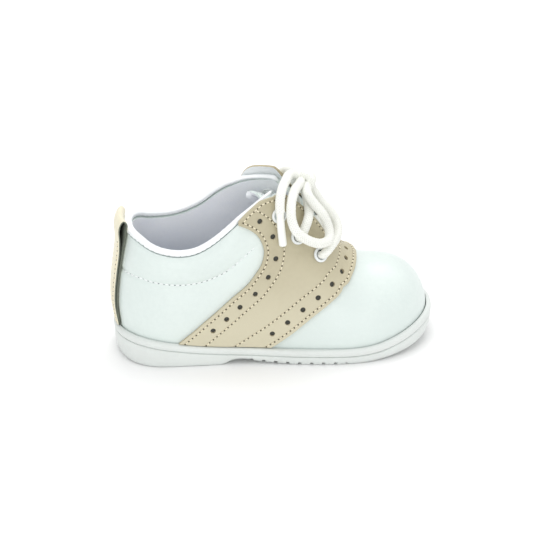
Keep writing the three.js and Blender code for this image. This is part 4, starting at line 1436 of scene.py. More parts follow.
def dots(places: Array, normals: Array, radius: float, lift: float, finish: int) -> Patch:
    """Small flat discs that lie on a surface: eight points round each place, in four faces.

    Args:
        places: a point for each.
        normals: the surface's directions there.
        radius: radius of each.
        lift: height over the surface.
        finish: finish number.

    Returns:
        The discs as one patch.
    """
    helper = np.where(np.abs(normals[:, 2:]) > 0.9, [[1.0, 0.0, 0.0]], [[0.0, 0.0, 1.0]])
    side = unit(np.cross(normals, helper))
    other = np.cross(normals, side)
    a = np.linspace(0, 2 * np.pi, 8, endpoint=False)
    ring = np.cos(a)[None, :, None] * side[:, None] + np.sin(a)[None, :, None] * other[:, None]
    points = places[:, None] + normals[:, None] * lift + radius * ring
    template = np.array([[0, 1, 2, 3], [0, 3, 4, 7], [4, 5, 6, 7]])
    quads = (template[None] + (np.arange(len(places)) * 8)[:, None, None]).reshape(-1, 4)
    return Patch.of(points, quads, finish)


@dataclass
class SideGrid:
    """One side's sheet as a grid, for tracing lines across it."""

    points: Array
    normals: Array

    def at(self, row: Array, column: Array) -> tuple[Array, Array]:
        """Points and normals at fractions of rows and columns, mixed from the four around.

        Args:
            row: fractional rows.
            column: fractional columns.

        Returns:
            Points and normals.
        """
        rows, columns = self.points.shape[:2]
        r = np.clip(np.floor(row).astype(int), 0, rows - 2)
        c = np.clip(np.floor(column).astype(int), 0, columns - 2)
        f, g = (row - r)[:, None], (column - c)[:, None]
        mixed = []
        for values in (self.points, self.normals):
            low = values[r, c] * (1 - g) + values[r, c + 1] * g
            high = values[r + 1, c] * (1 - g) + values[r + 1, c + 1] * g
            mixed.append(low * (1 - f) + high * f)
        return mixed[0], unit(mixed[1])

    def along_rows(self, distance: Array, value: float, rows: Array) -> tuple[Array, Array]:
        """Where a distance that grows along each row reaches a value: rows and columns.

        Args:
            distance: a distance at each point of the grid.
            value: the value to look up.
            rows: how many rows, or which ones.

        Returns:
            Rows and columns.
        """
        columns = np.arange(distance.shape[1])
        found = np.array([np.interp(value, distance[r], columns) for r in rows])
        return rows.astype(float), found


# Sub-assemblies


@dataclass
class Assembly:
    """What every sub-assembly works with: the last, the finishes and the bench."""

    last: Last
    palette: Palette
    bench: Bench


@dataclass
class Sole(Assembly):
    """The rubber cup sole and the insole that lies in it."""

    rib_first: float = 0.405
    rib_last: float = 0.71
    rib_pitch: float = 4.9
    rib_depth: float = 0.9
    rib_open: float = 0.28
    stations: int = 150

    def rib(self, share: Array) -> Array:
        """Depth of the tread's cross channels under the forefoot.

        Args:
            share: share of the way from heel (0) to toe (1).

        Returns:
            Depths.
        """
        x = self.last.sizes.sole_length * (share - self.rib_first)
        inside = (share >= self.rib_first) & (share <= self.rib_last)
        return np.where(inside & ((x / self.rib_pitch) % 1 < self.rib_open), self.rib_depth, 0.0)

    def shares(self) -> Array:
        """Stations along the sole, with close pairs at each edge of each channel.

        Returns:
            Shares, in order.
        """
        step = self.rib_pitch / self.last.sizes.sole_length
        starts = np.arange(self.rib_first, self.rib_last, step)
        edges = (starts[:, None] + np.array([-0.02, 0.02, 0.26, 0.3])[None] * step).reshape(-1)
        even = share_of(np.linspace(0, 1, self.stations + 1))
        far = np.abs(even[:, None] - edges[None]).min(1) > 0.0012
        return np.sort(np.concatenate([even[far], edges]))

    def ring(self, shares: Array, inset: float, height: Array) -> Array:
        """A closed ring: out along the lateral side from heel to toe, and back on the medial.

        Args:
            shares: shares from heel (0) to toe (1).
            inset: distance in from the sole's edge.
            height: heights above the floor.

        Returns:
            The ring's points.
        """
        lateral = self.last.outline_point(shares, LATERAL, inset, height)
        medial = self.last.outline_point(shares, MEDIAL, inset, height)
        return np.concatenate([lateral, medial[-2:0:-1]])

    def lip(self, shares: Array, height: Array) -> Array:
        """A ring that follows the upper at a height with the cup's clearance.

        Args:
            shares: shares from heel (0) to toe (1).
            height: heights above the floor.

        Returns:
            The ring's points.
        """
        last, gap = self.last, self.last.sizes.cup_gap
        sides = []
        for side in (LATERAL, MEDIAL):
            angle = last.angle_at_height(shares, height)
            here = last.point(shares, angle, side)
            n = last.normal(shares, angle, side)
            n[..., 2] = 0
            here = here + unit(n) * gap
            here[..., 2] = height
            sides.append(here)
        sides[0][0, 1] = 0.0
        sides[1][0] = sides[0][0]
        return np.concatenate([sides[0], sides[1][-2:0:-1]])

    def filled(self, ring: Array, height: Array) -> Patch:
        """A flat sheet across a ring, whose rows lie at one height for each station.

        Args:
            ring: a closed ring of points.
            height: heights above the floor.

        Returns:
            The sheet.
        """
        count = len(height)
        left = ring[:count]
        right = np.concatenate([ring[:1], ring[: count - 1 : -1], ring[count - 1 : count]])
        across = np.linspace(0, 1, 25)[None, :, None]
        points = left[:, None] + (right - left)[:, None] * across
        points[..., 2] = height[:, None]
        return Patch.of(points, grid_quads(count, across.shape[1]))

    def outsole(self) -> Piece:
        """The outsole: rings from the tread's edge over the rolled band and down into the cup.

        Returns:
            The piece.
        """
        last, s = self.last, self.last.sizes
        q = self.shares()
        bottom, top, rib = last.sole_bottom(q), last.sole_top(q), self.rib(q)
        neck = top - s.band
        waist = bottom + 0.9 + (neck - bottom - 0.9) * 0.6
        profile = [
            (2.0, bottom + rib),
            (1.35, bottom + 0.16 + 0.85 * rib),
            (0.95, bottom + 0.5 + 0.7 * rib),
            (0.7, bottom + 1.0 + 0.5 * rib),
            (0.45, bottom + (waist - bottom) * 0.6),
            (0.3, waist),
            (0.32, neck - 0.45),
            (0.5, neck - 0.22),
            (0.95, neck - 0.05),
            (1.0, neck + 0.12),
            (0.5, neck + 0.25),
            (0.18, neck + 0.55),
            (0.02, neck + 0.38 * s.band),
            (0.0, neck + 0.55 * s.band),
            (0.12, neck + 0.74 * s.band),
            (0.4, neck + 0.88 * s.band),
            (0.75, neck + 0.96 * s.band),
            (1.1, top),
        ]
        rings = [self.ring(q, inset, height) for inset, height in profile]
        rings += [self.lip(q, top - 0.05), self.lip(q, top - 0.4), self.lip(q, top - 1.8)]
        inner = self.lip(q, last.sole_floor(q))
        rings.append(inner)
        around = len(rings[0])
        side = Patch.of(np.stack(rings), grid_quads(len(rings), around, closed=True))
        base = self.filled(rings[0], bottom + rib)
        cup = self.filled(inner, last.sole_floor(q))
        patch = Patch.join([side, base, cup])
        finishes = [self.palette.rubber]
        return self.bench.piece("cup_sole", patch, finishes, "rubber_white", ["outsole"], crease=28)

    def insole(self) -> Piece:
        """The sock: a thin pad whose surface dishes up towards its edge.

        Returns:
            The piece.
        """
        last, s = self.last, self.last.sizes
        q = share_of(np.linspace(0.02, 0.98, 90))
        across = np.linspace(-1, 1, 49)
        inset = s.wall + 0.8
        edges = []
        for side in (LATERAL, MEDIAL):
            p = last.point(q, 0.0, side)
            half = np.maximum(np.abs(p[:, 1] - last.lean(q)) - inset, 0.4)
            half[0] = half[-1] = 0.05
            edges.append(side * half + last.lean(q))
        squeeze = 1 - 2 * (inset + 0.4) / s.sole_length
        x = last.point(q, 0.0, MEDIAL)[:, 0] * squeeze
        y = edges[0][:, None] + (edges[1] - edges[0])[:, None] * (across[None] + 1) / 2
        low = last.sole_floor(q) + s.clearance
        rim = np.maximum(np.abs(across)[None], np.abs(np.linspace(-1, 1, len(q)))[:, None])
        worn = 0.5 * np.clip((rim - 0.94) / 0.06, 0, 1) ** 2
        z = low[:, None] + s.insole - worn + 0.25 * np.abs(across) ** 3
        outer = np.stack([np.broadcast_to(x[:, None], y.shape), y, z], -1).reshape(-1, 3)
        inner = outer.copy()
        inner[:, 2] = np.broadcast_to(low[:, None], y.shape).reshape(-1)
        patch = wall(outer, inner, grid_quads(*y.shape), (0, 0, 0))
        return self.bench.piece("sock", patch, [self.palette.sock], "sock_lining", ["insole"])


@dataclass
class Eyelet:
    """One eyelet's place on the shoe."""

    name: str
    side: float
    origin: Array
    normal: Array


@dataclass
class Eyelets(Assembly):
    """Six enamelled eyelets, in pairs along the throat."""

    rows: tuple[tuple[str, float, float], ...] = (
        ("top", 0.5001, 1.663),
        ("middle", 0.5591, 2.231),
        ("bottom", 0.629, 2.105),
    )
    places: list[Eyelet] = field(default_factory=list)

    def __post_init__(self) -> None:
        """Finds each place: a number of eyelet widths below the flap's edge."""
        for name, share, below in self.rows:
            for side in (LATERAL, MEDIAL):
                angle = self.angle_below_edge(share, side, below * self.last.sizes.eyelet_outer)
                origin = self.last.point(share, angle, side)
                normal = self.last.normal(share, angle, side)
                label = f"eyelet_{SIDE_KEYS[side]}_{name}"
                self.places.append(Eyelet(label, side, origin, normal))

    def angle_below_edge(self, share: float, side: float, distance: float) -> float:
        """The section angle at a straight distance below the upper's edge, found by halving.

        Args:
            share: share of the way from heel (0) to toe (1).
            side: LATERAL or MEDIAL.
            distance: straight distance below the edge.

        Returns:
            The section angle.
        """
        top = float(self.last.top_angle(share, side))
        edge = self.last.point(share, top, side)
        low, high = 0.0, top
        for _ in range(HALVINGS):
            angle = (low + high) / 2
            if np.linalg.norm(edge - self.last.point(share, angle, side)) > distance:
                low = angle
            else:
                high = angle
        return (low + high) / 2

    def place(self, name: str) -> Eyelet:
        """The eyelet of a name."""
        return next(e for e in self.places if e.name == name)

    def build(self) -> None:
        """Turns each eyelet's rolled profile about its axis."""
        s = self.last.sizes
        hole, rim = s.eyelet_hole / 2, s.eyelet_outer / 2
        seat = 2 * s.clearance + s.leather
        back = -(s.wall + s.clearance + 0.5)
        flange = s.barrel + s.clearance + 0.4
        profile = np.array(
            [
                (hole, back - 0.5),
                (flange, back - 0.5),
                (flange, back),
                (s.barrel, back),
                (s.barrel, seat - 0.1),
                (rim - 0.1, seat - 0.1),
                (rim, seat + 0.12),
                (rim - 0.06, seat + 0.38),
                (rim - 0.28, seat + 0.66),
                (rim - 0.6, seat + 0.82),
                (rim - 0.92, seat + 0.78),
                (hole + 0.1, seat + 0.5),
                (hole, seat + 0.1),
                (hole, back - 0.5),
            ]
        )
        turn = np.linspace(0, 2 * np.pi, 40, endpoint=False)
        for e in self.places:
            side = unit(np.cross(e.normal, [0.0, 0.0, 1.0]))
            other = np.cross(e.normal, side)
            ring = np.cos(turn)[:, None] * side + np.sin(turn)[:, None] * other
            points = e.origin + profile[:, 0, None, None] * ring[None] + profile[:, 1, None, None] * e.normal
            patch = Patch.of(points, grid_quads(len(profile), len(turn), closed=True))
            self.bench.piece(e.name + "_ring", patch, [self.palette.enamel], "eyelet", [e.name], crease=50)


@dataclass
class Upper(Assembly):
    """The white upper with its lining, and the quilted seam under the collar."""

    eyelets: Eyelets
    stations: int = 180
    rows: int = 70
    crease_depth: float = 0.55
    crease_width: float = 1.1
    padded_from: float = 0.55
    padded_x: float = -4.0
    padded_run: float = 16.0

    def seam_height(self, share: Array) -> Array:
        """Height of the quilted seam."""
        return self.last.sizes.collar * Curve(QUARTER_SEAM, "height")(share)

    def crease(self, share: Array, height: Array) -> Array:
        """How far the seam pulls the leather in, as a bell across its line.

        Args:
            share: share of the way from heel (0) to toe (1).
            height: heights above the floor.

        Returns:
            Depths.
        """
        off = (height - self.seam_height(share)) / self.crease_width
        fade = np.clip((0.44 - share) / 0.02, 0, 1)
        return self.crease_depth * np.exp(-(off**2)) * fade

    def sheet(self) -> tuple[Patch, Array, Array]:
        """The outer surface as a welded sheet, with its lift and its wall's thickness.

        Returns:
            The sheet, its lift and its thickness.
        """
        last, s = self.last, self.last.sizes
        up = np.concatenate([[-0.75, -0.4, -0.12], np.linspace(0, 1, self.rows)])[:, None]
        share = share_of(np.linspace(0, 1, self.stations))[None]
        patches = []
        for side in (LATERAL, MEDIAL):
            q, u = np.broadcast_arrays(share, up)
            angle = last.row_angle(q, side, u)
            points = last.point(q, angle, side)
            lift = last.puff(q, side, u) - self.crease(q, points[..., 2])
            high = np.clip((points[..., 2] / s.collar - self.padded_from) / (1 - self.padded_from), 0, 1)
            rear = np.clip((self.padded_x - points[..., 0]) / self.padded_run, 0, 1)
            thick = s.wall + s.collar_padding * high * rear
            quads = grid_quads(*q.shape)
            if side > 0:
                quads = quads[:, ::-1]
            patches.append(Patch.of(points, quads, lift=lift, thick=thick))
        joined = Patch.join(patches).welded()
        return joined, joined.fields["lift"], joined.fields["thick"]

    def build(self) -> None:
        """Makes the wall, cuts the eyelet holes and sews the quilted seam."""
        s = self.last.sizes
        sheet, lift, thick = self.sheet()
        normals = vertex_normals(sheet.points, sheet.quads)
        places = np.array([e.origin for e in self.eyelets.places])
        axes = np.array([e.normal for e in self.eyelets.places])
        base, quads = punch(sheet.points, sheet.quads, places, axes, s.barrel + 0.1)
        outer = base + normals * lift[:, None]
        inner = base - normals * thick[:, None]
        patch = wall(outer, inner, quads, (0, 1, 0))
        finishes = [self.palette.white, self.palette.lining]
        self.bench.piece("upper_leather", patch, finishes, "leather_white", ["upper"])
        seams = [self.quilted_seam(side) for side in (LATERAL, MEDIAL)]
        finishes = [self.palette.white_thread, self.palette.grey_needle]
        self.bench.piece("quarter_stitches", Patch.join(seams), finishes, "leather_white")

    def quilted_seam(self, side: float) -> Patch:
        """Stitches along the seam, from the pull tab to the saddle's back edge.

        Args:
            side: LATERAL or MEDIAL.

        Returns:
            The stitches.
        """
        last = self.last
        share = np.linspace(0.012, 0.445, 260)
        angle = last.angle_at_height(share, self.seam_height(share))
        foot, top = last.sole_angle(share), last.top_angle(share, side, last.sizes.binding_height)
        up = (angle - foot) / (top - foot)
        keep = share < last.saddle_back(np.clip(up, 0, 1)) + 0.002
        share, angle, up = share[keep], angle[keep], up[keep]
        normal = last.normal(share, angle, side)
        lift = last.puff(share, side, up) - self.crease_depth
        line = last.point(share, angle, side) + normal * lift[:, None]
        return Seam(pitch=2.1, length=1.5, sink=0.05).sew(line, normal, 0, 1)


@dataclass
class Saddle(Assembly):
    """The beige saddle: punched, stitched and lying over the upper."""

    eyelets: Eyelets
    rows: int = 120
    columns: int = 105
    lip_rows: int = 9
    lip_fall: float = 0.045
    lips: ClassVar[dict[float, tuple[float, float, float, float]]] = {
        LATERAL: (0.362, 0.05, 0.488, 2.2),
        MEDIAL: (0.41, 0.04, 0.55, 5.0),
    }
    edge_round: float = 0.35
    hole_sink: float = 0.14
    row_sink: float = 0.1
    sink_width: float = 0.45
    punch_radius: float = 1.1
    punch_inset: float = 5.0
    punch_rear: tuple[float, ...] = (4.8, 8.6, 9.3, 8.2, 8.7, 8.3, 7.3, 7.2)
    punch_front: tuple[float, ...] = (1.5, 6.6, 7.1, 7.1, 7.7, 7.7, 8.0, 7.8)
    punch_front_inner: float = 5.1
    rear_rows: tuple[float, ...] = (1.6, 8.0)
    front_rows: tuple[float, ...] = (1.6, 9.0)

    def grids(self) -> dict[float, SideGrid]:
        """Each side's sheet as a grid between the back and front edges, the inner side with a lip.

        Returns:
            A grid for each side.
        """
        last, s = self.last, self.last.sizes
        ease = np.array([0.0, 0.0025, 0.006])
        across = np.concatenate([ease, np.linspace(0.011, 0.989, self.columns), 1 - ease[::-1]])[None]
        up = np.concatenate([[0, 0.004], np.linspace(0.01, 0.99, self.rows), [0.995, 1.0]])[:, None]
        found = {}
        for side in (LATERAL, MEDIAL):
            share = last.saddle_share(across, up)
            angle = last.row_angle(share, side, np.broadcast_to(up, share.shape))
            points = last.point(share, angle, side)
            normals = last.normal(share, angle, side)
            start, length, end, rise = self.lips[side]
            near_end = np.clip((share[-1] - start) / length, 0, 1)
            rise = rise * np.sqrt(near_end * (2 - near_end)) * np.clip((end - share[-1]) / self.lip_fall, 0, 1)
            steps = np.linspace(0, 1, self.lip_rows + 1)[1:, None]
            height = points[-1, :, 2][None] + steps * rise[None]
            lip_share = np.broadcast_to(share[-1][None], height.shape)
            lip_angle = np.where(rise[None] > 0, last.angle_at_height(lip_share, height), angle[-1][None])
            points = np.concatenate([points, last.point(lip_share, lip_angle, side)])
            normals = np.concatenate([normals, last.normal(lip_share, lip_angle, side)])
            found[side] = SideGrid(points, normals)
        return found

    def build(self) -> None:
        """Makes the leather, its punched rows, discs of painted shade under the holes, and its stitches."""
        last, s = self.last, self.last.sizes
        grids = self.grids()
        top_lift = s.clearance + s.leather
        body = self.rows + 4
        back = np.concatenate([lengthened(g.points[:body, 0]) for g in grids.values()])
        front = np.concatenate([g.points[:body, -1] for g in grids.values()])
        feet = [lengthened(g.points[:body, -1])[:39] for g in grids.values()]
        front = np.concatenate([front, *feet])
        limit = last.saddle_share(np.linspace(0, 1, self.columns + 6), 1.0) <= s.throat_front
        top = np.concatenate([g.points[-1, limit] for g in grids.values()])
        foot = np.concatenate([g.points[0] for g in grids.values()])
        lines = {side: self.trace(side, grid, back, front, top) for side, grid in grids.items()}
        patches = []
        for side, grid in grids.items():
            quads = grid_quads(*grid.points.shape[:2])
            patches.append(Patch.of(grid.points, quads[:, ::-1] if side > 0 else quads))
        sheet = Patch.join(patches).welded()
        normals = vertex_normals(sheet.points, sheet.quads)
        to_back, to_front = distance_to(sheet.points, back), distance_to(sheet.points, front)
        to_side = np.minimum(to_back, to_front)
        to_any = np.minimum(to_side, distance_to(sheet.points, np.concatenate([top, foot])))
        holes = np.concatenate([line[0] for side in lines.values() for line in side["holes"]])
        hole_axes = np.concatenate([line[1] for side in lines.values() for line in side["holes"]])
        rings = np.array([e.origin for e in self.eyelets.places])
        ring_axes = np.array([e.normal for e in self.eyelets.places])
        base, quads = punch(sheet.points, sheet.quads, holes, hole_axes, self.punch_radius)
        base, quads = punch(base, quads, rings, ring_axes, s.barrel + 0.1)
        drop = np.clip(1 - to_any / self.edge_round, 0, 1)
        near = np.linalg.norm(base[:, None] - holes[None], axis=-1).min(1) - self.punch_radius
        lift = top_lift - self.edge_round * (1 - np.sqrt(1 - drop**2))
        lift = lift - self.hole_sink * np.exp(-((np.maximum(near, 0) / self.sink_width) ** 2))
        for distance, rows in ((to_back, self.rear_rows), (to_front, self.front_rows)):
            for row in rows:
                lift = lift - self.row_sink * np.exp(-(((distance - row) / self.sink_width) ** 2))
        outer = base + normals * lift[:, None]
        inner = base + normals * s.clearance
        patch = wall(outer, inner, quads, (0, 2, 1))
        patch.fields["edge"] = np.tile(np.minimum(to_back, 20.0), 2)
        patch.fields["front_edge"] = np.tile(np.minimum(to_front, 20.0), 2)
        finishes = [self.palette.beige, self.palette.cut_edge, self.palette.binding]
        self.bench.piece("saddle_leather", patch, finishes, "leather_beige", ["saddle"])
        # Painted shade: dark discs under each punched hole stand in for the shade inside the holes.
        shade_discs = dots(holes, hole_axes, self.punch_radius + 0.35, s.clearance + 0.05, 0)
        self.bench.piece("punch_shade_discs", shade_discs, [self.palette.dark], "leather_beige")
        seams = [
            Seam(sink=0.1).sew(points + axes * top_lift, axes, 0, 1)
            for side in lines.values()
            for points, axes in side["stitches"]
        ]
        finishes = [self.palette.thread, self.palette.needle]
        self.bench.piece("saddle_stitches", Patch.join(seams), finishes, "leather_beige")

    def follow(
        self, grid: SideGrid, distance: Array, value: float, flipped: bool, rows: Array, top: Array
    ) -> tuple[Array, Array]:
        """The line at a distance from the back edge, or from the front one if flipped.

        Args:
            grid: one side's sheet.
            distance: distances.
            value: how far from the edge.
            flipped: whether distances are from the front edge.
            rows: how many rows, or which ones.
            top: points of the top edge.

        Returns:
            Points and normals.
        """
        r, c = grid.along_rows(distance[:, ::-1] if flipped else distance, value, rows)
        c = grid.points.shape[1] - 1 - c if flipped else c
        points, normals = grid.at(r, c)
        edge = self.rear_rows[0]
        clear = distance_to(points, top) > (value if value < 2 * edge else edge)
        return points[clear], normals[clear]

    def trace(
        self, side: float, grid: SideGrid, back: Array, front: Array, top: Array
    ) -> dict[str, list[tuple[Array, Array]]]:
        """Lines at set distances from the saddle's edges.

        Args:
            side: LATERAL or MEDIAL.
            grid: that side's sheet.
            back: points of the back edge.
            front: points of the front edge.
            top: points of the top edge round the throat.

        Returns:
            The punched holes' places and axes, and the stitch rows' points and normals.
        """
        to_back, to_front = distance_to(grid.points, back), distance_to(grid.points, front)
        to_top = distance_to(grid.points, top)
        body, every = np.arange(2, self.rows + 4), np.arange(2, grid.points.shape[0])
        last_column = grid.points.shape[1] - 1
        holes, stitches = [], []

        for distance, flipped in ((to_back, False), (to_front, True)):
            for value in self.front_rows if flipped else self.rear_rows:
                stitches.append(self.follow(grid, distance, value, flipped, every, top))
            points, normals = self.follow(grid, distance, self.punch_inset, flipped, body, top)
            run = run_length(points)
            gaps = np.array(self.punch_front if flipped else self.punch_rear)
            if flipped and side > 0:
                gaps[0] = self.punch_front_inner
            marks = run[-1] - np.cumsum(gaps)
            both = np.concatenate([points, normals], axis=1)
            spots = read_along(both, run, marks)
            holes.append((spots[:, :3], unit(spots[:, 3:])))
        columns = np.arange(3, last_column - 3)
        reach = self.rear_rows[0]
        falling = to_top[::-1, columns]
        row_numbers = np.arange(len(to_top) - 1, -1, -1)
        found = np.array([np.interp(reach, falling[:, i], row_numbers) for i in range(len(columns))])
        clear = falling[0] < reach * 0.9
        points, normals = grid.at(found[clear], columns[clear].astype(float))
        side_room = np.minimum(distance_to(points, back), distance_to(points, front)) > reach
        stitches.append((points[side_room], normals[side_room]))
        return {"holes": holes, "stitches": stitches}


@dataclass
class Collar(Assembly):
    """The rolled binding round the collar, its stitches, and the pull tab up the heel."""

    ends: ClassVar[dict[float, float]] = {LATERAL: 0.495, MEDIAL: 0.53}
    steps: int = 120
    slimmed: float = 0.42
    slim_from: float = 0.36
    slim_run: float = 0.07
    tab_width: float = 15.0
    tab_strip: float = 0.9
    tab_rise: float = 3.2
    tab_depth: float = 4.2

    def shares(self, side: float) -> Array:
        """Shares along one side of the binding, from the heel forwards."""
        return share_of(station_of(self.ends[side]) * np.linspace(0, 1, self.steps + 1))

    def frames(self, side: float) -> tuple[Array, Array, Array]:
        """Origins, outward directions and ups of the binding, from the heel forwards.

        Args:
            side: LATERAL or MEDIAL.

        Returns:
            Origins, outward directions and ups.
        """
        last, s = self.last, self.last.sizes
        share = self.shares(side)
        rim = last.point(share, last.top_angle(share, side, s.binding_height), side)[:, 2]
        angle = last.angle_at_height(share, rim + s.binding_height / 2 + 0.2)
        normal = last.normal(share, angle, side)
        flush = np.clip((share - last.saddle_back(0.97) + 0.02) / 0.02, 0, 1)
        inward = s.binding_width / 2 - 0.5 + flush * 0.6
        origin = last.point(share, angle, side) - normal * inward[:, None]
        above = last.point(share, np.minimum(angle + 0.004, QUARTER_TURN), side)
        up = unit(above - last.point(share, angle - 0.004, side))
        return origin, normal, up

    def binding(self) -> None:
        """Sweeps the roll's superellipse section round the collar, with soft gathers."""
        s = self.last.sizes
        left, right = self.frames(LATERAL), self.frames(MEDIAL)
        origin, out, up = (np.concatenate([a[::-1], b[1:]]) for a, b in zip(left, right))
        near, far = self.shares(LATERAL), self.shares(MEDIAL)
        share = np.concatenate([near[::-1], far[1:]])
        a = np.linspace(0, 2 * np.pi, 20, endpoint=False)
        half_wide, half_high = s.binding_width / 2, (s.binding_height - s.clearance) / 2
        wide = half_wide * np.sign(np.cos(a)) * np.abs(np.cos(a)) ** 0.8
        high = half_high * np.sign(np.sin(a)) * np.abs(np.sin(a)) ** 0.8
        run = run_length(origin)
        gather = 1 + 0.02 * np.sin(run * 2.1) * np.sin(run * 0.37 + 1.0)
        from_end = np.minimum(run, run[-1] - run)
        cap = np.sqrt(np.clip(1 - (1 - np.clip(from_end / 1.6, 0, 1)) ** 2, 0, 1))
        slim = 1 - self.slimmed * np.clip((share - self.slim_from) / self.slim_run, 0, 1)
        scale = (gather * slim * np.maximum(cap, 0.02))[:, None, None]
        section = wide[None, :, None] * out[:, None] + high[None, :, None] * up[:, None]
        points = origin[:, None] + scale * section
        closed = [np.repeat(origin[i, None, None], len(a), axis=1) for i in (0, -1)]
        points = np.concatenate([closed[0], points, closed[1]])
        patch = Patch.of(points, grid_quads(len(points), len(a), closed=True))
        self.bench.piece("collar_roll", patch, [self.palette.binding], "binding_white", ["collar_binding"])
        rear = share < self.slim_from
        rows = [
            self.binding_row(origin[rear], out[rear], up[rear], half_wide * 0.86, -half_high * 0.55, 1.0),
            self.binding_row(origin[rear], out[rear], up[rear], -half_wide * 0.9, -half_high * 0.3, -1.0),
        ]
        finishes = [self.palette.white_thread, self.palette.grey_needle]
        self.bench.piece("binding_stitches", Patch.join(rows), finishes, "binding_white")

    def binding_row(
        self, origin: Array, out: Array, up: Array, wide: float, high: float, face: float
    ) -> Patch:
        """Stitches along one face of the binding.

        Args:
            origin: the binding's middle line.
            out: its outward directions.
            up: its ups.
            wide: step outwards.
            high: step up.
            face: 1 for the outer face, -1 for the inner.

        Returns:
            The stitches.
        """
        line = origin + wide * out + high * up
        normal = unit(face * out - 0.35 * up)
        inside = slice(6, -6)
        seam = Seam(pitch=2.2, length=1.5, thickness=0.34, sink=0.0, hole=0.4)
        return seam.sew(line[inside], normal[inside], 0, 1)

    def tab(self) -> None:
        """The pull tab: one strip folded double up the heel, with an open loop at its top."""
        last, s = self.last, self.last.sizes
        bottom = float(last.sole_top(0.0)) + s.clearance
        top = float(last.topline_height(0.0, LATERAL)) + self.tab_rise
        span = top - bottom
        half = self.tab_strip / 2
        low = s.clearance + 0.1
        thin = low + 2 * self.tab_strip + 0.1
        wide = low + self.tab_depth
        route = [
            (low + half, 0.0),
            (low + half, 0.2),
            (low + half, 0.42),
            (low + half, 0.6),
            (low + half + 0.05, 0.74),
            (low + half + 0.15, 0.84),
            (low + half + 0.3, 0.915),
            (low + half + 0.2, 0.955),
            (low + (wide - low) * 0.45, 1 - half / span),
            (wide - half - 0.6, 0.965),
            (wide - half - 0.1, 0.91),
            (wide + (thin - wide) * 0.5 - half, 0.8),
            (wide + (thin - wide) * 0.85 - half, 0.7),
            (thin - half, 0.5),
            (thin - half - 0.05, 0.36),
            (thin - half - 0.2, 0.2),
            (thin - half - 0.7, 0.0),
        ]
        line = smooth_route([(away, 0.0, bottom + part * span) for away, part in route], 0.7)
        tangent = unit(np.gradient(line, axis=0))
        across = np.linspace(-1, 1, 25)
        rounding = np.sqrt(1 - np.clip((np.abs(across) - 0.94) / 0.06, 0, 1) ** 2 * 0.7)
        faces = []
        for sign in (1.0, -1.0):
            away = line[:, 0, None] + sign * half * tangent[:, 2, None] * rounding * 0.96
            z = line[:, 2, None] - sign * half * tangent[:, 0, None] * rounding * 0.96
            y = np.broadcast_to(self.tab_width / 2 * across, away.shape)
            x = last.back_at(y, np.clip(z, bottom, float(last.topline_height(0.0, LATERAL)) + 1)) - away
            faces.append(np.stack([x, y, z], -1).reshape(-1, 3))
        quads = grid_quads(len(line), len(across))
        patch = wall(faces[0], faces[1], quads, (1, 0, 1))
        finishes = [self.palette.tab, self.palette.tab_edge]
        self.bench.piece("pull_tab", patch, finishes, "leather_beige", ["heel_tab"])
        shape = (len(line), len(across), 3)
        sheet = faces[1].reshape(shape)
        outward = -np.cross(np.gradient(sheet, axis=0), np.gradient(sheet, axis=1))
        outward = unit(outward * np.sign(-outward[..., :1].mean()))
        span_rows = slice(int(len(line) * 0.6), len(line) - 1)
        grid = SideGrid(sheet[span_rows], outward[span_rows])
        rows = np.arange(grid.points.shape[0], dtype=float)
        seams = []
        for column in (2.2, len(across) - 3.2):
            points, normals = grid.at(rows, np.full(len(rows), column))
            seams.append(Seam().sew(points, normals, 0, 1))
        finishes = [self.palette.thread, self.palette.needle]
        self.bench.piece("tab_stitches", Patch.join(seams), finishes, "leather_beige")


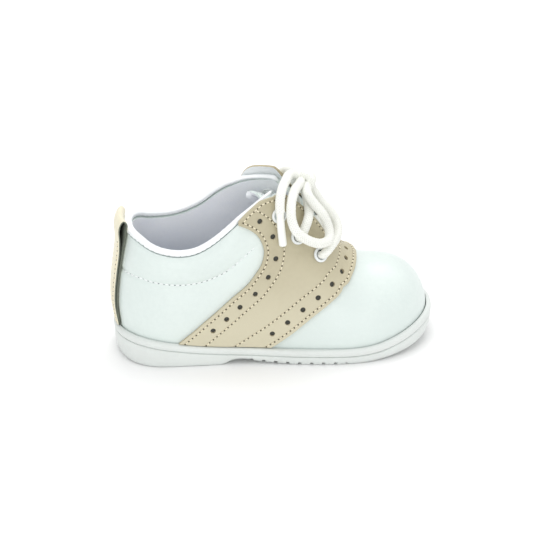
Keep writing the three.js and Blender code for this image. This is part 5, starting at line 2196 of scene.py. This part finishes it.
@dataclass
class Tongue(Assembly):
    """The white tongue below the flaps, with a curled free corner and a stitched edge."""

    corner_lift: float = 15.5
    corner_reach: float = 4.5

    def point(self, share: Array, across: Array) -> Array:
        """A point of its upper face: the last's surface at that width, dropped behind the flaps.

        Args:
            share: share of the way from heel (0) to toe (1).
            across: share from the middle to each side.

        Returns:
            Points.
        """
        last, s = self.last, self.last.sizes
        half = s.tongue_width * Curve(TONGUE, "half")(share)
        y = half * across
        free = np.clip((0.52 - share) / 0.058, 0, 1) * np.clip(np.abs(across) - 0.4, 0, None) ** 2
        heights, slopes = np.zeros(y.shape), np.zeros(y.shape)
        for side in (LATERAL, MEDIAL):
            mine = (across < 0) if side < 0 else (across >= 0)
            angle = last.search(share, side, np.abs(y))
            heights = np.where(mine, last.point(share, angle, side)[..., 2], heights)
            slopes = np.where(mine, last.normal(share, angle, side)[..., 2], slopes)
        top = last.point(share, QUARTER_TURN, MEDIAL)
        under = s.tongue_depth / np.maximum(slopes, 0.35)
        sag = Curve(TONGUE, "sag")(share)
        drop = (s.throat - s.collar) * Curve(TONGUE, "drop")(share)
        z = top[..., 2] + (heights - top[..., 2]) * sag - under - drop - 0.6 * s.tongue_curl * free
        x = top[..., 0] - 3 * s.tongue_curl * free
        far = np.clip((0.53 - share) / 0.085, 0, 1) * np.clip((across - 0.05) / 0.95, 0, 1)
        roll = far * np.clip((across - 0.7) / 0.3, 0, 1) ** 2
        z = z + self.corner_lift * far**1.3 - 1.0 * roll
        x = x - self.corner_reach * far + 2.0 * roll
        y = y * (1 - 0.25 * free) - 5.0 * roll
        return np.stack([x, y + top[..., 1], z], -1)

    def build(self) -> None:
        """Makes the padded sheet and sews round its free edge."""
        s = self.last.sizes
        share = np.linspace(TONGUE[0].at, TONGUE[-1].at, 80)[:, None]
        across = np.linspace(-1, 1, 61)[None]
        q, a = np.broadcast_arrays(share, across)
        points = self.point(q, a)
        quads = grid_quads(*q.shape)
        flat = points.reshape(-1, 3)
        normals = vertex_normals(flat, quads)
        normals *= np.sign(normals[:, 2].mean())
        rows, columns = np.indices(q.shape)
        edge = np.minimum(np.minimum(columns, q.shape[1] - 1 - columns) * 0.45, rows * 0.55).reshape(-1)
        rounding = 0.5 * s.tongue * (1 - np.sqrt(1 - np.clip(1 - edge / 0.9, 0, 1) ** 2))
        outer = flat - normals * rounding[:, None]
        inner = flat - normals * (s.tongue - rounding)[:, None]
        patch = wall(outer, inner, quads, (0, 1, 0))
        finishes = [self.palette.white, self.palette.lining]
        self.bench.piece("tongue_leather", patch, finishes, "leather_white", ["tongue"])
        grid = SideGrid(points, normals.reshape(points.shape))
        inset = 3.0
        path_rows = np.concatenate([np.arange(40, 4, -1), np.full(55, 4), np.arange(4, 41)]).astype(float)
        wide = q.shape[1] - 1 - inset
        path_columns = np.concatenate([np.full(36, inset), np.linspace(inset, wide, 55), np.full(37, wide)])
        line, up = grid.at(path_rows, path_columns)
        finishes = [self.palette.white_thread, self.palette.grey_needle]
        self.bench.piece("tongue_stitches", Seam().sew(line, up, 0, 1), finishes, "leather_white")


class FarEnd(Enum):
    """What a stretch of lace comes to at its far end."""

    BACK_IN_SHOE = "object"
    TIP = "fitting"


@dataclass
class Laces(Assembly):
    """One round braided lace: its run through the eyelets, and the bow with its ends."""

    eyelets: Eyelets
    plaits: int = 8
    plait_length: float = 1.9
    relief: float = 0.17
    around: int = 36
    step: float = 0.24
    squeezed: float = 0.2
    squeeze_reach: float = 5.0
    knot_turns: tuple[float, float] = (-0.35, 1.4)
    knot_radii: tuple[float, float] = (3.3, 2.7)
    knot_climb: float = 3.4
    knot: tuple[float, float, float] = (12.0, 0.2, 70.6)
    loop_lateral: Route = (
        (10.2, -4.6, 71.6), (7.6, -9.4, 71.2), (5.7, -14, 69.3), (4.8, -17.6, 66), (4.9, -20.2, 62.4),
        (6.3, -21.9, 58.9), (9.2, -22, 55.9), (12.8, -21.4, 53.4), (16.6, -20.7, 52.2),
        (19.7, -18.8, 52.6), (20.6, -15.6, 54.5), (19.7, -13.3, 58.2), (17.8, -12.6, 61.9),
        (15, -11.9, 65.4), (12.5, -9.8, 69),
    )
    loop_medial: Route = (
        (12.2, 5.8, 70.6), (10.4, 10.4, 69), (9.4, 14.8, 65.4), (9.2, 18.6, 60.6), (10, 21.4, 55.4),
        (12.8, 22.4, 51.4), (16.4, 20.8, 51.4), (18, 17.6, 55), (17.6, 13.8, 59.6), (16.4, 9.8, 64),
        (14.6, 5.8, 67.6),
    )
    end_lateral: Route = (
        (6.6, -2.2, 74.6), (3.9, -7.6, 74.2), (1.7, -12.6, 72.2), (0.6, -16, 69), (0.4, -17.7, 65.7),
    )
    tip_lateral: Route = ((0.4, -17.9, 64.9), (0.7, -19.2, 59), (1.3, -20.6, 51.9))
    end_medial: Route = (
        (9, 4.7, 72.8), (6.4, 9.8, 70.8), (5.1, 14.4, 67.9), (4.4, 17.8, 64.2),
    )
    tip_medial: Route = ((4.3, 18.5, 63.8), (4, 20.4, 58), (3.6, 21.6, 51))
    strand_middle: Route = (
        (9.5, -17.7, 57.2), (11.2, -16, 58.6), (12.6, -12.8, 61), (13, -8.7, 63.2), (12.4, -3.8, 65.3),
    )
    strand_bottom: Route = (
        (19, -18, 48.2), (21.7, -15.4, 48.8), (24.3, -10.8, 50.1), (25.2, -7, 52.2), (24.4, -4.6, 55.2),
        (22, -3.6, 58.8), (18.9, -2.8, 62), (16.6, -1.6, 65.6),
    )

    def braid(self, line: Array, squeeze: Array | None = None) -> Patch:
        """A braided tube: two families of plaits cross, and the one on top stands proud.

        Args:
            line: the centreline.
            squeeze: a factor on the radius at each point.

        Returns:
            The tube, with its relief from 0 in the valleys to 1 on the plaits as a field.
        """
        run = run_length(line)[:, None]
        turn = np.linspace(0, 2 * np.pi, self.around, endpoint=False)[None]
        wind = 2 * np.pi * run / self.plait_length
        one = np.abs(np.cos((self.plaits * turn + wind * 2) / 2))
        two = np.abs(np.cos((self.plaits * turn - wind * 2) / 2))
        over = 0.5 + 0.5 * np.sin(self.plaits * turn / 2) * np.sin(wind)
        height = np.maximum(one * (0.6 + 0.4 * over), two * (1 - 0.4 * over))
        half = self.last.sizes.lace / 2 + 0.08
        radii = half * (1 - self.relief * (1 - height))
        if squeeze is not None:
            radii = radii * squeeze[:, None]
        patch = tube(line, radii)
        patch.fields["relief"] = np.concatenate([height[:1], height, height[-1:]]).reshape(-1)
        return patch

    def stretch(
        self,
        name: str,
        line: Array,
        stands_for: Sequence[str],
        far_end: FarEnd = FarEnd.BACK_IN_SHOE,
        squeeze: Array | None = None,
        with_pieces: Sequence[Piece] = (),
    ) -> Piece:
        """Args:
            name: its name.
            line: points of a line.
            stands_for: the solids that it replaces.
            far_end: where the stretch ends; not used.
            squeeze: a factor on the radius at each point.
            with_pieces: what is fixed to it; not used.

        Returns:
            The piece.
        """
        patch = self.braid(line, squeeze)
        piece = self.bench.piece(name, patch, [self.palette.braid], "lace", stands_for, crease=180)
        length = float(run_length(line)[-1])
        tuple(self.bench.metres(line[0]))
        [tuple(p) for p in self.bench.metres(np.concatenate([line[::4], line[-1:]]))]
        LOG.info("%s: %.0f mm of lace", name, length)
        return piece

    def tip(self, name: str, route: Sequence[Sequence[float]], solid: str) -> Piece:
        """A lace tip: a smooth sleeve that is pinched a little where it grips the braid.

        Args:
            name: its name.
            route: points to pass.
            solid: the solid that it replaces.

        Returns:
            The piece.
        """
        line = smooth_route(route, 0.35)
        part = run_length(line) / run_length(line)[-1]
        pinch = 0.1 * np.exp(-(((part - 0.12) / 0.04) ** 2))
        taper = 0.22 * np.clip((part - 0.93) / 0.07, 0, 1) ** 2
        shape = self.last.sizes.aglet / 2 * (1 - pinch - taper)
        a = np.linspace(0, 2 * np.pi, 28, endpoint=False)
        flat = 1 - 0.06 * np.cos(a) ** 2
        patch = tube(line, shape[:, None] * flat[None])
        return self.bench.piece(name, patch, [self.palette.tip], "lace_tip", [solid], crease=60)

    def hole(self, name: str, depth: float) -> Array:
        """A point on an eyelet's axis, outwards from the upper's face."""
        eyelet = self.eyelets.place(name)
        return eyelet.origin + eyelet.normal * depth

    def bar(self, share: float) -> Array:
        """The middle of a bar of lace that lies on the tongue.

        Args:
            share: share of the way from heel (0) to toe (1).

        Returns:
            The point.
        """
        s = self.last.sizes
        tongue = Tongue(self.last, self.palette, self.bench)
        here = tongue.point(np.array([share - 0.02, share, share + 0.02]), np.zeros(3))
        run = here[2] - here[0]
        away = (s.lace / 2 + s.clearance) / np.hypot(run[0], run[2])
        return here[1] + away * np.array([-run[2], 0, run[0]])

    def through_shoe(self) -> Array:
        """The route of the run through the eyelets, from the knot down and back up to it.

        Returns:
            Points of the route.
        """
        s = self.last.sizes
        seat = 2 * s.clearance + s.leather
        hole = self.hole
        middle, bottom = self.bar(self.eyelets.rows[1][1]), self.bar(self.eyelets.rows[2][1])
        inside = -(s.wall + 0.6)
        route = [self.knot]
        route += list(self.strand_middle[::-1])[1:-1]
        aside = np.array([0, 5.0, 0.6])
        down = aside * [0, 1, -1]
        route += [hole("eyelet_lateral_middle", depth) for depth in (seat + 2.4, 0.6, inside)]
        route += [middle - aside, middle, middle + down]
        route += [hole("eyelet_medial_middle", depth) for depth in (inside, 0.6)]
        outer = [hole(f"eyelet_medial_{row}", seat + s.lace / 2 + 0.5) for row in ("middle", "bottom")]
        route += [outer[0] * (1 - part) + outer[1] * part for part in (0.15, 0.5, 0.85)]
        route += [hole("eyelet_medial_bottom", depth) for depth in (0.6, inside)]
        route += [bottom + down, bottom, bottom - aside]
        route += [hole("eyelet_lateral_bottom", depth) for depth in (inside, 0.6, seat + 2.4)]
        route += list(self.strand_bottom)[1:]
        route += [self.knot]
        return smooth_route(route, self.step)

    def build(self) -> None:
        """Makes every stretch, the tips and the knot."""
        nodes = [f"lace_{part}_{row}" for part in ("bar", "strand") for row in ("middle", "bottom")]
        nodes.append("lace_run_medial")
        line = self.through_shoe()
        nearest = distance_to(line, np.array([e.origin for e in self.eyelets.places]))
        squeeze = 1 - self.squeezed * np.clip((self.squeeze_reach - nearest) / 2.0, 0, 1)
        self.stretch("lace_through_eyelets", line, nodes, squeeze=squeeze)
        knot = np.array(self.knot)
        for side, loop in (("lateral", self.loop_lateral), ("medial", self.loop_medial)):
            route = [knot + [-1.2, 0, 0.6], *loop, knot + [1.6, 0, -0.8]]
            self.stretch(f"lace_bow_{side}", smooth_route(route, self.step), [f"lace_loop_{side}"])
        ends = (("lateral", self.end_lateral, self.tip_lateral), ("medial", self.end_medial, self.tip_medial))
        for side, end, tip in ends:
            sleeve = self.tip(f"lace_sleeve_{side}", tip, f"aglet_{side}")
            line = smooth_route([knot + [-1.0, 0, 1.4], *end, *tip], self.step)
            line = line[run_length(line) < run_length(line)[-1] - 2.0]
            from_tip = run_length(line)[-1] - run_length(line)
            grip = run_length(np.asarray(tip))[-1] - 2.0
            squeeze = 1 - 0.25 * np.clip((grip - from_tip) / 1.0 + 0.5, 0, 1)
            self.stretch(f"lace_tail_{side}", line, [f"lace_end_{side}"], FarEnd.TIP, squeeze, [sleeve])
        self.wrap(knot)

    def wrap(self, knot: Array) -> None:
        """The knot: the lace wound once and a half round the strands that meet there.

        Args:
            knot: the knot's middle.
        """
        turns = np.linspace(*self.knot_turns, 80) * 2 * np.pi
        axis = unit(np.array([0.25, 1.0, -0.1]))
        side = unit(np.cross(axis, [0.0, 0.0, 1.0]))
        up = np.cross(side, axis)
        wide, high = self.knot_radii
        line = knot + wide * np.cos(turns)[:, None] * side + high * np.sin(turns)[:, None] * up
        line = line + (turns / (2 * np.pi) - 0.5)[:, None] * self.knot_climb * axis
        self.stretch("lace_knot_wrap", smooth_route(line[::5], self.step), ["lace_knot"])


@dataclass
class Studio:
    """The pale floor, the soft lights and the camera at the photograph's angle."""

    palette: Palette
    shift: Array
    azimuth: float = -7.0
    elevation: float = 27.0
    distance: float = 900.0
    target: tuple[float, float, float] = (0.0, 0.0, 30.0)
    pixels_per_mm: float = 2.44
    target_pixel: tuple[float, float] = (273.5, 272.0)
    frame: float = 540.0
    sensor: float = 36.0
    glow: float = 0.8

    def camera(self) -> None:
        """Sets the camera."""
        data = bpy.data.cameras.new("camera")
        data.sensor_width = self.sensor
        data.lens = self.pixels_per_mm * self.distance * self.sensor / self.frame
        data.shift_x = -(self.target_pixel[0] - self.frame / 2) / self.frame
        data.shift_y = (self.target_pixel[1] - self.frame / 2) / self.frame
        data.clip_start, data.clip_end = 0.05, 20.0
        a, e = np.radians(self.azimuth), np.radians(self.elevation)
        back = np.array([np.sin(a) * np.cos(e), -np.cos(a) * np.cos(e), np.sin(e)])
        camera = bpy.data.objects.new("camera", data)
        bpy.context.scene.collection.objects.link(camera)
        camera.location = Vector((np.array(self.target) + self.shift + back * self.distance) * MM)
        camera.rotation_mode = "QUATERNION"
        camera.rotation_quaternion = (-Vector(back)).to_track_quat("-Z", "Y")
        bpy.context.scene.camera = camera

    def light(self, name: str, place: Sequence[float], size: float, power: float) -> None:
        """Adds a square soft box that faces the shoe.

        Args:
            name: its name.
            place: where it hangs, in metres.
            size: the box's side in metres.
            power: its power in watts.
        """
        data = bpy.data.lights.new(name, "AREA")
        data.size = size
        data.energy = power
        lamp = bpy.data.objects.new(name, data)
        bpy.context.scene.collection.objects.link(lamp)
        lamp.location = Vector(place)
        lamp.rotation_mode = "QUATERNION"
        lamp.rotation_quaternion = (Vector((0, 0, 0.03)) - Vector(place)).to_track_quat("-Z", "Y")

    def build(self) -> None:
        """Lays the floor, hangs the lights and sets the world's pale glow."""
        mesh = bpy.data.meshes.new("studio_floor")
        reach = 4.0
        corners = [(reach * x, reach * y, 0) for x, y in ((-1, -1), (1, -1), (1, 1), (-1, 1))]
        mesh.from_pydata(corners, [], [(0, 1, 2, 3)])
        mesh.materials.append(self.palette.floor)
        floor = bpy.data.objects.new("studio_floor", mesh)
        bpy.context.scene.collection.objects.link(floor)
        self.light("key", (-0.2, -0.5, 0.85), 0.6, 1.55)
        self.light("top", (0.1, 0.4, 0.95), 0.8, 4.3)
        self.light("low", (0.15, -0.9, 0.2), 0.5, 1.0)
        world = bpy.data.worlds.new("studio")
        world.use_nodes = True
        ground = world.node_tree.nodes["Background"]
        ground.inputs["Color"].default_value = (1.0, 1.0, 1.0, 1.0)
        ground.inputs["Strength"].default_value = self.glow
        bpy.context.scene.world = world
        bpy.context.scene.view_settings.view_transform = "Standard"


def main() -> None:
    """Builds the shoe round its frame, piece by piece."""
    logging.basicConfig(level=logging.INFO, format="%(message)s")
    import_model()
    sizes = ShoeSizes()
    low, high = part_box("outsole")
    middle = (np.array(low) + np.array(high)) / 2 / MM
    last = Last(sizes)
    share = np.linspace(0, 1, 400)
    edges = [last.outline_point(share, side, 0.0, 0.0)[:, 1] for side in (LATERAL, MEDIAL)]
    shift = np.array([middle[0], middle[1] - (edges[0].min() + edges[1].max()) / 2, 0.0])
    palette = Palette()
    bench = Bench(shift)
    studio = Studio(palette, shift)
    studio.camera()
    eyelets = Eyelets(last, palette, bench)
    Laces(last, palette, bench, eyelets).build()
    sole = Sole(last, palette, bench)
    sole.outsole()
    sole.insole()
    Upper(last, palette, bench, eyelets).build()
    Saddle(last, palette, bench, eyelets).build()
    collar = Collar(last, palette, bench)
    collar.binding()
    collar.tab()
    Tongue(last, palette, bench).build()
    eyelets.build()
    studio.build()


if __name__ == "__main__":
    main()
